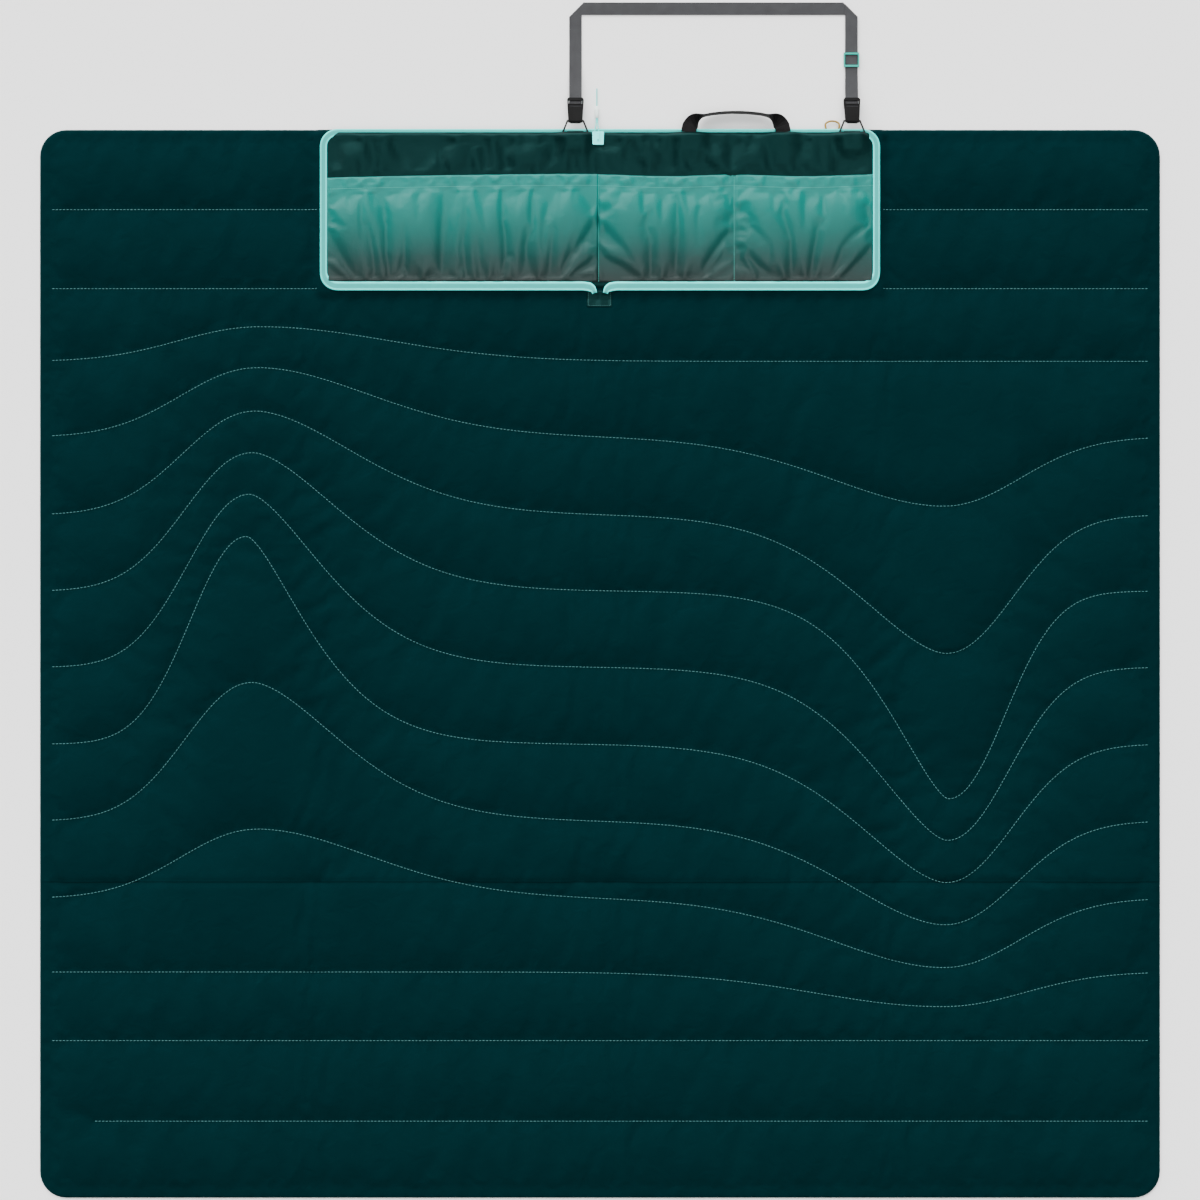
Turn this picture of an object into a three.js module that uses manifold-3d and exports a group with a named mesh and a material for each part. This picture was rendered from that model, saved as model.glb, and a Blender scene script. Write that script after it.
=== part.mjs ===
// Camp blanket: a quilted ground sheet that folds into its own carrying panel.
//
// Frame, in millimetres: +X to the right and +Y towards the carrying panel and strap, both
// along the ground, and +Z up. The origin is on the ground, under the middle of the whole
// blanket with its strap laid out. It is built from four quilted columns that fold at three
// lines, an organiser panel on the two middle columns, and the strap, handle and loops.

import * as THREE from 'three';
import { mergeVertices } from 'three/addons/utils/BufferGeometryUtils.js';
import Module from 'manifold-3d';

const wasm = await Module();
wasm.setup();

// Quilted sheet
const HALF_WIDTH = 890;
const TOP_EDGE = 747;
const BOTTOM_EDGE = -950;
const CORNER_RADIUS = 42;
const WING_FOLD = 452;
const JOIN_SEAM = -448;
const CLEARANCE = 0.3;
const CLOTH = 0.6;
const WADDING = 10.2;
const WADDING_Z = CLOTH + CLEARANCE;
const TOP_CLOTH_Z = WADDING_Z + WADDING + CLEARANCE;
const SHEET_TOP = TOP_CLOTH_Z + CLOTH;

// Organiser panel
const PANEL_SIDE = 444;
const PANEL_BOTTOM = 491;
const PANEL_RADIUS = 28;
const PANEL_Z = SHEET_TOP + CLEARANCE;
const PANEL_CLOTH = 0.8;
const TAPE_SIDE = 11;
const TAPE_BOTTOM = 14;
const TAPE_END = 8;
const COIL_WIDTH = 2.4;
const COIL_HEIGHT = 2;
const COIL_Z = PANEL_Z + PANEL_CLOTH + CLEARANCE;

// Pockets
const POCKET_Z = COIL_Z;
const POCKET_SIDE = 434;
const POCKET_CENTRE = 2;
const POCKET_BOTTOM = 506;
const POCKET_TOP = 657;
const POCKET_DIVIDER = 212;
const POCKET_WALL = 1.5;
const POCKET_DEPTH = 5.2;
const POCKET_CLOTH = 1;
const HEM_TOP = 675;
const HEM_HEIGHT = 2.6;
const HEM_WALL = 0.4;

// Zip end patch
const PATCH_TOP = 490;
const PATCH_BOTTOM = 465;
const PATCH_HALF = 20;

// Zip slider and its pull
const SLIDER_X = -3;
const SLIDER_WIDTH = 18.5;
const SLIDER_BOTTOM = 721.7;
const SLIDER_LENGTH = 21;
const SLIDER_PLATE = 1.6;
const SLIDER_GAP = 2.4;
const PULL_X = -5;
const PULL_DIAMETER = 2.5;
const KNOT_START = 765;
const KNOT_LENGTH = 20;
const KNOT_RADIUS = 3.6;
const PULL_END = 813;

// Rings, their keepers and the hooks
const LEFT_HOOK_X = -39;
const RIGHT_HOOK_X = 399.5;
const RING_WIRE = 1.4;
const RING_Z = 18;
const RING_BASE_Y = 741;
const RING_BAR_Y = 759.4;
const RING_BASE_HALF = 20;
const RING_BAR_HALF = 12.5;
const KEEPER_HALF = 13;
const KEEPER_TAIL_Y = 722;
const HOOK_TILT = THREE.MathUtils.degToRad(11.5);
const HOOK_NOSE = 4.4;
const HOOK_THROAT = 1.9;
const HOOK_LENGTH = 37;
const HOOK_NOSE_HALF = 11;
const HOOK_END_HALF = 13.3;
const HOOK_LIP_HALF = 8;

// Shoulder strap
const WEBBING_WIDTH = 20;
const WEBBING = 1.5;
const STRAP_TOP = 950;
const STRAP_FOLD = 23;
const RAISED_LEG_Z = 2.9;
const ADJUSTER_Y = 847;
const ADJUSTER_LENGTH = 22.5;
const ADJUSTER_HALF = 12.25;
const ADJUSTER_BAR = 3;

// Carrying handle and gear loop
const HANDLE_X = 215.4;
const HANDLE_HALF = 74.6;
const HANDLE_WIDTH = 24;
const HANDLE_THICKNESS = 1.6;
const HANDLE_SEAM = 741.5;
const HANDLE_Z = 17.6;
const HANDLE_TAIL = 14;
const GEAR_LOOP_X = 369;
const GEAR_LOOP_HALF = 10;
const GEAR_LOOP_DIAMETER = 3;

const LOOKS = {
  sheetCloth: { color: 0x0b3a3d, roughness: 0.8, metalness: 0 },
  groundCloth: { color: 0x16282b, roughness: 0.6, metalness: 0 },
  wadding: { color: 0xe6e8e6, roughness: 1, metalness: 0 },
  panelCloth: { color: 0x10413f, roughness: 0.75, metalness: 0 },
  pocketCloth: { color: 0x0d7a6e, roughness: 0.45, metalness: 0 },
  elastic: { color: 0x1b1f20, roughness: 0.9, metalness: 0 },
  zip: { color: 0x8cf5eb, roughness: 0.6, metalness: 0 },
  cord: { color: 0xa6f0e6, roughness: 0.7, metalness: 0 },
  webbing: { color: 0x55585a, roughness: 0.85, metalness: 0 },
  handle: { color: 0x1d1b1d, roughness: 0.85, metalness: 0 },
  plastic: { color: 0x202020, roughness: 0.4, metalness: 0 },
  adjuster: { color: 0x1ecdbe, roughness: 0.35, metalness: 0 },
  wire: { color: 0x1a1716, roughness: 0.35, metalness: 1 },
  gearCord: { color: 0xaf8228, roughness: 0.7, metalness: 0 },
};

const blanket = new THREE.Group();

function addPiece(name, geometry, look, parent = blanket) {
  const mesh = new THREE.Mesh(geometry, new THREE.MeshStandardMaterial(LOOKS[look]));
  mesh.name = name;
  parent.add(mesh);
  return mesh;
}

// Solids for joining and cutting

function toSolid(geometry) {
  const bare = geometry.clone();
  bare.deleteAttribute('normal');
  bare.deleteAttribute('uv');
  const merged = mergeVertices(bare, 1e-4);
  return new wasm.Manifold(new wasm.Mesh({
    numProp: 3,
    vertProperties: new Float32Array(merged.attributes.position.array),
    triVerts: new Uint32Array(merged.index.array),
  }));
}

function toGeometry(solid) {
  const mesh = solid.getMesh();
  const geometry = new THREE.BufferGeometry();
  geometry.setAttribute('position', new THREE.BufferAttribute(mesh.vertProperties, 3));
  geometry.setIndex(new THREE.BufferAttribute(mesh.triVerts, 1));
  geometry.computeVertexNormals();
  return geometry;
}

function join(geometries) {
  return toGeometry(geometries.map(toSolid).reduce((whole, piece) => whole.add(piece)));
}

function cut(geometry, tools) {
  return toGeometry(tools.map(toSolid).reduce((whole, tool) => whole.subtract(tool), toSolid(geometry)));
}

// Basic shapes

function block(x0, x1, y0, y1, z0, z1) {
  const geometry = new THREE.BoxGeometry(x1 - x0, y1 - y0, z1 - z0);
  return geometry.translate((x0 + x1) / 2, (y0 + y1) / 2, (z0 + z1) / 2);
}

function plate(outline, z, thickness) {
  const settings = { depth: thickness, bevelEnabled: false, curveSegments: 6 };
  return new THREE.ExtrudeGeometry(outline, settings).translate(0, 0, z);
}

// An outline drawn in (y, z) and run across from x0 to x1.
function across(outline, x0, x1) {
  const settings = { depth: x1 - x0, bevelEnabled: false, curveSegments: 8 };
  const turn = new THREE.Matrix4().makeBasis(
    new THREE.Vector3(0, 1, 0),
    new THREE.Vector3(0, 0, 1),
    new THREE.Vector3(1, 0, 0),
  );
  return new THREE.ExtrudeGeometry(outline, settings).applyMatrix4(turn).translate(x0, 0, 0);
}

// The outline of a flat strip of the given thickness along a bent centreline.
function stripOutline(points, thickness) {
  const upper = [];
  const lower = [];
  points.forEach((point, i) => {
    const arriving = point.clone().sub(points[Math.max(i - 1, 0)]);
    const leaving = points[Math.min(i + 1, points.length - 1)].clone().sub(point);
    const first = (i === 0 ? leaving : arriving).clone().normalize();
    const second = (i === points.length - 1 ? arriving : leaving).clone().normalize();
    const mitre = new THREE.Vector2(-first.y - second.y, first.x + second.x).normalize();
    const side = new THREE.Vector2(-second.y, second.x);
    const reach = thickness / 2 / mitre.dot(side);
    upper.push(point.clone().addScaledVector(mitre, reach));
    lower.unshift(point.clone().addScaledVector(mitre, -reach));
  });
  return new THREE.Shape([...lower, ...upper]);
}

// A round tube with flat ends along an open curve.
function tube(points, radius, sides, steps) {
  const section = new THREE.Shape();
  for (let i = 0; i < sides; i++) {
    const angle = (2 * Math.PI * i) / sides;
    const corner = [radius * Math.cos(angle), radius * Math.sin(angle)];
    if (i === 0) {
      section.moveTo(...corner);
    } else {
      section.lineTo(...corner);
    }
  }
  section.closePath();
  const extrudePath = new THREE.CatmullRomCurve3(points.map((p) => new THREE.Vector3(...p)));
  return new THREE.ExtrudeGeometry(section, { extrudePath, steps, bevelEnabled: false });
}

function rod(from, to, radius) {
  const start = new THREE.Vector3(...from);
  const end = new THREE.Vector3(...to);
  const along = end.clone().sub(start);
  const turn = new THREE.Quaternion().setFromUnitVectors(
    new THREE.Vector3(0, 1, 0),
    along.clone().normalize(),
  );
  const geometry = new THREE.CylinderGeometry(radius, radius, along.length(), 12);
  geometry.applyQuaternion(turn);
  const middle = start.add(end).multiplyScalar(0.5);
  return geometry.translate(middle.x, middle.y, middle.z);
}

// Quilted sheet: four columns, each with its ground cloth, wadding and top cloth. The top
// cloth is two widths of fabric that meet at the join seam.

function columnOutline(x0, x1, y0, y1, corners) {
  const r = CORNER_RADIUS;
  const rounded = (name) => (corners.includes(name) ? r : 0);
  const outline = new THREE.Shape();
  outline.moveTo(x0 + rounded('bottomLeft'), y0);
  outline.lineTo(x1 - rounded('bottomRight'), y0);
  if (rounded('bottomRight')) {
    outline.absarc(x1 - r, y0 + r, r, -Math.PI / 2, 0, false);
  }
  outline.lineTo(x1, y1 - rounded('topRight'));
  if (rounded('topRight')) {
    outline.absarc(x1 - r, y1 - r, r, 0, Math.PI / 2, false);
  }
  outline.lineTo(x0 + rounded('topLeft'), y1);
  if (rounded('topLeft')) {
    outline.absarc(x0 + r, y1 - r, r, Math.PI / 2, Math.PI, false);
  }
  outline.lineTo(x0, y0 + rounded('bottomLeft'));
  if (rounded('bottomLeft')) {
    outline.absarc(x0 + r, y0 + r, r, Math.PI, 1.5 * Math.PI, false);
  }
  return outline;
}

const COLUMNS = [
  { name: 'left_wing', from: -HALF_WIDTH, to: -WING_FOLD, low: ['bottomLeft'], high: ['topLeft'] },
  { name: 'left_half', from: -WING_FOLD, to: 0, low: [], high: [] },
  { name: 'right_half', from: 0, to: WING_FOLD, low: [], high: [] },
  { name: 'right_wing', from: WING_FOLD, to: HALF_WIDTH, low: ['bottomRight'], high: ['topRight'] },
];

function addColumn({ name, from, to, low, high }) {
  const x0 = from === -HALF_WIDTH ? from : from + CLEARANCE;
  const x1 = to === HALF_WIDTH ? to : to - CLEARANCE;
  const whole = columnOutline(x0, x1, BOTTOM_EDGE, TOP_EDGE, [...low, ...high]);
  const lower = columnOutline(x0, x1, BOTTOM_EDGE, JOIN_SEAM - CLEARANCE / 2, low);
  const upper = columnOutline(x0, x1, JOIN_SEAM + CLEARANCE / 2, TOP_EDGE, high);
  addPiece(`${name}_ground_cloth`, plate(whole, 0, CLOTH), 'groundCloth');
  addPiece(`${name}_wadding`, plate(whole, WADDING_Z, WADDING), 'wadding');
  addPiece(`${name}_top_cloth`, plate(upper, TOP_CLOTH_Z, CLOTH), 'sheetCloth');
  addPiece(`${name}_lower_top_cloth`, plate(lower, TOP_CLOTH_Z, CLOTH), 'sheetCloth');
}

COLUMNS.forEach(addColumn);

// Organiser panel: backing cloth framed by a zip tape with its coil, one run on each half.
// Side is -1 for the left half and 1 for the right half.

function mirrored(outline, side) {
  return side < 0 ? outline : new THREE.Shape(outline.getPoints(6).map((p) => new THREE.Vector2(-p.x, p.y)).reverse());
}

// A band that runs in from the top middle, round the side and back along the bottom.
function bandOutline(outer, width, end) {
  const { side, top, bottom, radius } = outer;
  const outline = new THREE.Shape();
  outline.moveTo(-CLEARANCE, top);
  outline.absarc(-side + radius, top - radius, radius, Math.PI / 2, Math.PI, false);
  outline.absarc(-side + radius, bottom + radius, radius, Math.PI, 1.5 * Math.PI, false);
  outline.lineTo(-end, bottom);
  outline.lineTo(-end, bottom + width.bottom);
  const inner = radius - width.side;
  const left = -side + width.side;
  outline.absarc(left + inner, bottom + width.bottom + inner, inner, 1.5 * Math.PI, Math.PI, true);
  outline.absarc(left + inner, top - width.side - inner, inner, Math.PI, Math.PI / 2, true);
  outline.lineTo(-CLEARANCE, top - width.side);
  return outline;
}

const PANEL_EDGE = { side: PANEL_SIDE, top: TOP_EDGE, bottom: PANEL_BOTTOM, radius: PANEL_RADIUS };
const TAPE_WIDTH = { side: TAPE_SIDE, bottom: TAPE_BOTTOM };
const COIL_WIDTHS = { side: COIL_WIDTH, bottom: COIL_WIDTH };

function backingOutline() {
  const left = -PANEL_SIDE + TAPE_SIDE + CLEARANCE;
  const top = TOP_EDGE - TAPE_SIDE - CLEARANCE;
  const bottom = PANEL_BOTTOM + TAPE_BOTTOM + CLEARANCE;
  const r = PANEL_RADIUS - TAPE_SIDE - CLEARANCE;
  const outline = new THREE.Shape();
  outline.moveTo(-CLEARANCE, top);
  outline.absarc(left + r, top - r, r, Math.PI / 2, Math.PI, false);
  outline.absarc(left + r, bottom + r, r, Math.PI, 1.5 * Math.PI, false);
  outline.lineTo(-CLEARANCE, bottom);
  return outline;
}

// Pocket fronts stand off the backing on their sewn sides and are open at the hem.
function pocketFront(x0, x1, dividers) {
  const z0 = POCKET_Z;
  const z1 = z0 + POCKET_DEPTH;
  const walls = [x0, ...dividers, x1];
  const hollows = walls.slice(1).map((wall, i) => block(
    walls[i] + (i === 0 ? POCKET_WALL : POCKET_WALL / 2),
    wall - (i === walls.length - 2 ? POCKET_WALL : POCKET_WALL / 2),
    POCKET_BOTTOM + POCKET_WALL,
    POCKET_TOP + 1,
    z0 - 1,
    z1,
  ));
  return cut(block(x0, x1, POCKET_BOTTOM, POCKET_TOP, z0, z1 + POCKET_CLOTH), hollows);
}

// The hem is a flat sleeve, open at both ends, with the elastic running inside it.
function addHem(name, x0, x1) {
  const y0 = POCKET_TOP + CLEARANCE;
  const z0 = POCKET_Z + POCKET_DEPTH;
  const sleeve = block(x0, x1, y0, HEM_TOP, z0, z0 + HEM_HEIGHT);
  const bore = block(x0 - 1, x1 + 1, y0 + HEM_WALL, HEM_TOP - HEM_WALL, z0 + HEM_WALL, z0 + HEM_HEIGHT - HEM_WALL);
  addPiece(`${name}_pocket_hem`, cut(sleeve, [bore]), 'pocketCloth');
  const inset = HEM_WALL + CLEARANCE;
  const elastic = block(x0 + 1, x1 - 1, y0 + inset, HEM_TOP - inset, z0 + inset, z0 + HEM_HEIGHT - inset);
  addPiece(`${name}_hem_elastic`, elastic, 'elastic');
}

function addPanelHalf(name, side, dividers) {
  const band = mirrored(bandOutline(PANEL_EDGE, TAPE_WIDTH, TAPE_END), side);
  const coil = mirrored(bandOutline(PANEL_EDGE, COIL_WIDTHS, TAPE_END), side);
  addPiece(`${name}_zip_tape`, plate(band, PANEL_Z, PANEL_CLOTH), 'zip');
  addPiece(`${name}_zip_coil`, plate(coil, COIL_Z, COIL_HEIGHT), 'zip');
  addPiece(`${name}_panel_backing`, plate(mirrored(backingOutline(), side), PANEL_Z, PANEL_CLOTH), 'panelCloth');
  const [x0, x1] = [side * POCKET_CENTRE, side * POCKET_SIDE].sort((a, b) => a - b);
  addPiece(`${name}_pocket_front`, pocketFront(x0, x1, dividers), 'pocketCloth');
  addHem(name, x0, x1);
  const [p0, p1] = [side * CLEARANCE, side * PATCH_HALF].sort((a, b) => a - b);
  addPiece(`${name}_end_patch`, block(p0, p1, PATCH_BOTTOM, PATCH_TOP, PANEL_Z, PANEL_Z + PANEL_CLOTH), 'panelCloth');
}

addPanelHalf('left', -1, []);
addPanelHalf('right', 1, [POCKET_DIVIDER]);

// Zip slider: two plates held apart by a post, with a bail on top for the pull.

function sliderPlate(z) {
  const half = SLIDER_WIDTH / 2;
  const foot = half - 0.5;
  const round = 2.5;
  const outline = new THREE.Shape();
  outline.moveTo(1 - foot, 0);
  outline.lineTo(foot - 1, 0);
  outline.lineTo(foot, 1);
  outline.lineTo(half, SLIDER_LENGTH - round);
  outline.quadraticCurveTo(half, SLIDER_LENGTH, half - round, SLIDER_LENGTH);
  outline.lineTo(round - half, SLIDER_LENGTH);
  outline.quadraticCurveTo(-half, SLIDER_LENGTH, -half, SLIDER_LENGTH - round);
  outline.lineTo(-foot, 1);
  return plate(outline, z, SLIDER_PLATE);
}

function zipSlider() {
  const upper = SLIDER_PLATE + SLIDER_GAP;
  const top = upper + SLIDER_PLATE;
  const post = block(-2, 2, SLIDER_LENGTH * 0.55, SLIDER_LENGTH - 1, SLIDER_PLATE / 2, top - SLIDER_PLATE / 2);
  const bail = new THREE.Shape();
  bail.moveTo(SLIDER_LENGTH * 0.3, top - 0.5);
  bail.lineTo(SLIDER_LENGTH - 1.5, top - 0.5);
  bail.lineTo(SLIDER_LENGTH - 1.5, top + 1.6);
  bail.lineTo(SLIDER_LENGTH - 3, top + 2.9);
  bail.lineTo(SLIDER_LENGTH * 0.3 + 2, top + 2.9);
  bail.lineTo(SLIDER_LENGTH * 0.3, top + 1.6);
  bail.closePath();
  return join([sliderPlate(0), sliderPlate(upper), post, across(bail, -1.6, 1.6)]);
}

const slider = addPiece('zip_slider', zipSlider(), 'zip');
slider.position.set(SLIDER_X, SLIDER_BOTTOM, COIL_Z);

// Pull: a thin cord from the bail over the top edge to the ground, through a bead, and a tail.

const PULL_RADIUS = PULL_DIAMETER / 2;
const KNOT_Z = KNOT_RADIUS;
const cordToKnot = [
  [PULL_X, 742.5, 23.3],
  [PULL_X, 746, 22.8],
  [PULL_X, 749.5, 20.4],
  [PULL_X, 752.5, 16.6],
  [PULL_X, 755, 12.4],
  [PULL_X, 757.5, 8.4],
  [PULL_X, 760.5, 5.2],
  [PULL_X, KNOT_START - CLEARANCE, KNOT_Z],
];
const cordTail = [
  [PULL_X, KNOT_START + KNOT_LENGTH + CLEARANCE, KNOT_Z],
  [PULL_X, 790, 2.6],
  [PULL_X, 796, PULL_RADIUS + 0.1],
  [PULL_X, 804, PULL_RADIUS + 0.1],
  [PULL_X, PULL_END, PULL_RADIUS + 0.1],
];
addPiece('pull_cord', tube(cordToKnot, PULL_RADIUS, 8, 10), 'cord');
addPiece('pull_cord_tail', tube(cordTail, PULL_RADIUS, 8, 8), 'cord');

function knot() {
  const profile = [];
  const steps = 8;
  for (let i = 0; i <= steps; i++) {
    const angle = (Math.PI * i) / steps;
    profile.push(new THREE.Vector2(KNOT_RADIUS * Math.sin(angle), -KNOT_LENGTH / 2 * Math.cos(angle)));
  }
  profile[0].x = 0;
  profile[steps].x = 0;
  return new THREE.LatheGeometry(profile, 12);
}

addPiece('pull_bead', knot(), 'cord').position.set(PULL_X, KNOT_START + KNOT_LENGTH / 2, KNOT_Z);

// Rings of round wire, each held by a folded keeper tab at the panel's top edge.

function ringWire() {
  const base = RING_BASE_HALF;
  const bar = RING_BAR_HALF;
  const reach = RING_BAR_Y - RING_BASE_Y;
  const corners = [[-base, 0, 0], [base, 0, 0], [bar, reach, 0], [-bar, reach, 0]];
  const rods = corners.map((corner, i) => rod(corner, corners[(i + 1) % corners.length], RING_WIRE));
  const bends = corners.map((corner) => new THREE.SphereGeometry(RING_WIRE, 12, 8).translate(...corner));
  return join([...rods, ...bends]);
}

function keeperTab() {
  const outer = RING_WIRE + CLEARANCE + PANEL_CLOTH;
  const outline = new THREE.Shape();
  const tail = KEEPER_TAIL_Y - RING_BASE_Y;
  const tailZ = COIL_Z - RING_Z;
  outline.moveTo(tail, tailZ);
  outline.lineTo(-outer * 0.6, tailZ);
  outline.lineTo(0, -outer);
  outline.absarc(0, 0, outer, -Math.PI / 2, Math.PI / 2, false);
  outline.lineTo(-outer * 1.4, outer * 0.6);
  outline.lineTo(tail, tailZ + 2 * PANEL_CLOTH);
  const bore = new THREE.Path();
  bore.absarc(0, 0, RING_WIRE + CLEARANCE, 0, 2 * Math.PI, true);
  outline.holes.push(bore);
  return across(outline, -KEEPER_HALF, KEEPER_HALF);
}

// Hook: a flat plate that tapers to a curled nose over the ring's bar. At its wide end the
// webbing goes over a low bar, under a thin bridge and under the end bar.

function hookBody() {
  const plateEnd = HOOK_LENGTH * 0.57;
  const profile = new THREE.Shape();
  profile.moveTo(0, HOOK_THROAT);
  profile.absarc(0, 0, HOOK_THROAT, Math.PI / 2, Math.PI, false);
  profile.lineTo(-HOOK_THROAT, -1.2);
  profile.lineTo(-HOOK_NOSE + 0.6, -1.2);
  profile.lineTo(-HOOK_NOSE, -0.4);
  profile.absarc(0, 0, HOOK_NOSE, Math.PI, Math.PI / 2, true);
  profile.lineTo(HOOK_LENGTH, HOOK_NOSE);
  profile.lineTo(HOOK_LENGTH, HOOK_THROAT);
  const outline = new THREE.Shape();
  outline.moveTo(-HOOK_NOSE_HALF, -HOOK_NOSE - 1);
  outline.lineTo(HOOK_NOSE_HALF, -HOOK_NOSE - 1);
  outline.lineTo(HOOK_END_HALF, HOOK_LENGTH - 3);
  outline.lineTo(HOOK_END_HALF - 2, HOOK_LENGTH);
  outline.lineTo(-HOOK_END_HALF + 2, HOOK_LENGTH);
  outline.lineTo(-HOOK_END_HALF, HOOK_LENGTH - 3);
  outline.closePath();
  const inner = WEBBING_WIDTH / 2 + 2 * CLEARANCE;
  const taper = toSolid(plate(outline, -5, 15));
  const rails = block(-HOOK_END_HALF, HOOK_END_HALF, plateEnd, HOOK_LENGTH, -3.2, HOOK_NOSE - 0.4);
  const webbingWay = block(-inner, inner, plateEnd - 1, HOOK_LENGTH + 1, -6, HOOK_THROAT);
  const slot = block(-inner, inner, plateEnd + 1, HOOK_LENGTH - 4.4, 0, 8);
  const bridge = block(-inner - 1, inner + 1, 25.4, 27, HOOK_THROAT + 0.4, HOOK_NOSE);
  const lowBar = block(-inner - 1, inner + 1, 24.2, 27.4, -3.2, -0.6);
  const lipCut = (side) => block(
    Math.min(side * HOOK_LIP_HALF, side * 14),
    Math.max(side * HOOK_LIP_HALF, side * 14),
    -6,
    -HOOK_THROAT + 2.6,
    -3,
    HOOK_THROAT,
  );
  return toGeometry(
    toSolid(across(profile, -HOOK_END_HALF, HOOK_END_HALF))
      .add(toSolid(rails))
      .intersect(taper)
      .subtract(toSolid(webbingWay))
      .subtract(toSolid(slot))
      .add(toSolid(bridge))
      .add(toSolid(lowBar))
      .subtract(toSolid(lipCut(-1)))
      .subtract(toSolid(lipCut(1))),
  );
}

function addRingAndHook(name, x) {
  addPiece(`${name}_ring`, ringWire(), 'wire').position.set(x, RING_BASE_Y, RING_Z);
  addPiece(`${name}_ring_keeper`, keeperTab(), 'panelCloth').position.set(x, RING_BASE_Y, RING_Z);
  const hook = addPiece(`${name}_hook`, hookBody(), 'plastic');
  hook.position.set(x, RING_BAR_Y, RING_Z);
  hook.rotation.x = -HOOK_TILT;
}

addRingAndHook('left', LEFT_HOOK_X);
addRingAndHook('right', RIGHT_HOOK_X);

// Shoulder strap: one length of webbing, looped round each hook's low bar and laid out flat,
// with its corners folded at 45 degrees. The right leg runs raised through the adjuster.

function hookPoint(along, up) {
  const c = Math.cos(HOOK_TILT);
  const s = Math.sin(HOOK_TILT);
  return new THREE.Vector2(RING_BAR_Y + along * c + up * s, RING_Z - along * s + up * c);
}

// Where a straight run that leaves the hook reaches the given height.
function landing(up, z) {
  const start = hookPoint(0, up);
  return start.x + (start.y - z) / Math.tan(HOOK_TILT);
}

const UPPER_LAYER = 0.95;
const LOWER_LAYER = -4.6;
const LOOP_START = 22.6;

function legOutline(legZ, returnPath) {
  const path = [
    ...returnPath,
    hookPoint(38, LOWER_LAYER),
    hookPoint(LOOP_START, LOWER_LAYER),
    hookPoint(LOOP_START, UPPER_LAYER),
    new THREE.Vector2(landing(UPPER_LAYER, legZ), legZ),
    new THREE.Vector2(STRAP_TOP - WEBBING_WIDTH / 2, legZ),
  ];
  return stripOutline(path, WEBBING);
}

function strapWebbing() {
  const half = WEBBING_WIDTH / 2;
  const leftReturn = [hookPoint(62, UPPER_LAYER - 1.3), hookPoint(50, UPPER_LAYER - 1.3)];
  const rightReturn = [new THREE.Vector2(829, WEBBING / 2), new THREE.Vector2(818, WEBBING / 2)];
  const leftLeg = across(legOutline(WEBBING / 2, leftReturn), LEFT_HOOK_X - half, LEFT_HOOK_X + half);
  const rightLeg = across(legOutline(RAISED_LEG_Z, rightReturn), RIGHT_HOOK_X - half, RIGHT_HOOK_X + half);
  const run = block(LEFT_HOOK_X - half, RIGHT_HOOK_X + half, STRAP_TOP - WEBBING_WIDTH, STRAP_TOP, 0, WEBBING);
  const corner = block(
    RIGHT_HOOK_X - half,
    RIGHT_HOOK_X + half,
    STRAP_TOP - WEBBING_WIDTH,
    STRAP_TOP,
    0,
    RAISED_LEG_Z + WEBBING / 2,
  );
  const folds = [-1, 1].map((side) => {
    const x = side < 0 ? LEFT_HOOK_X - half : RIGHT_HOOK_X + half;
    const triangle = new THREE.Shape([
      new THREE.Vector2(x - side * STRAP_FOLD, STRAP_TOP),
      new THREE.Vector2(x - side * STRAP_FOLD, STRAP_TOP + 2),
      new THREE.Vector2(x + side * 2, STRAP_TOP + 2),
      new THREE.Vector2(x + side * 2, STRAP_TOP - STRAP_FOLD),
      new THREE.Vector2(x, STRAP_TOP - STRAP_FOLD),
    ]);
    return plate(triangle, -1, 8);
  });
  return cut(join([leftLeg, rightLeg, run, corner]), folds);
}

addPiece('strap_webbing', strapWebbing(), 'webbing');

function adjusterFrame() {
  const inner = WEBBING_WIDTH / 2 + CLEARANCE;
  const low = CLEARANCE;
  const under = RAISED_LEG_Z - WEBBING / 2 - CLEARANCE;
  const over = RAISED_LEG_Z + WEBBING / 2 + CLEARANCE;
  const high = over + 2;
  const rail = (side) => block(
    Math.min(side * inner, side * ADJUSTER_HALF),
    Math.max(side * inner, side * ADJUSTER_HALF),
    0,
    ADJUSTER_LENGTH,
    low,
    high,
  );
  const endBar = (y) => block(-ADJUSTER_HALF, ADJUSTER_HALF, y, y + ADJUSTER_BAR, over, high);
  const middle = (ADJUSTER_LENGTH - ADJUSTER_BAR) / 2;
  const centreBar = block(-ADJUSTER_HALF, ADJUSTER_HALF, middle, middle + ADJUSTER_BAR, low, under);
  return join([rail(-1), rail(1), endBar(0), endBar(ADJUSTER_LENGTH - ADJUSTER_BAR), centreBar]);
}

addPiece('strap_adjuster', adjusterFrame(), 'adjuster').position.set(RIGHT_HOOK_X, ADJUSTER_Y, 0);

// Carrying handle: a webbing arch, flat where it is sewn in and turned on edge at its middle.

const HANDLE_SIDE = [
  [HANDLE_HALF, HANDLE_SEAM, HANDLE_Z],
  [HANDLE_HALF - 0.7, 749, 18.6],
  [HANDLE_HALF - 6, 757, 18.4],
  [HANDLE_HALF - 15, 764, 16],
  [HANDLE_HALF - 30, 769.5, 13.6],
  [HANDLE_HALF - 52, 772.6, 12.5],
];

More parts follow.
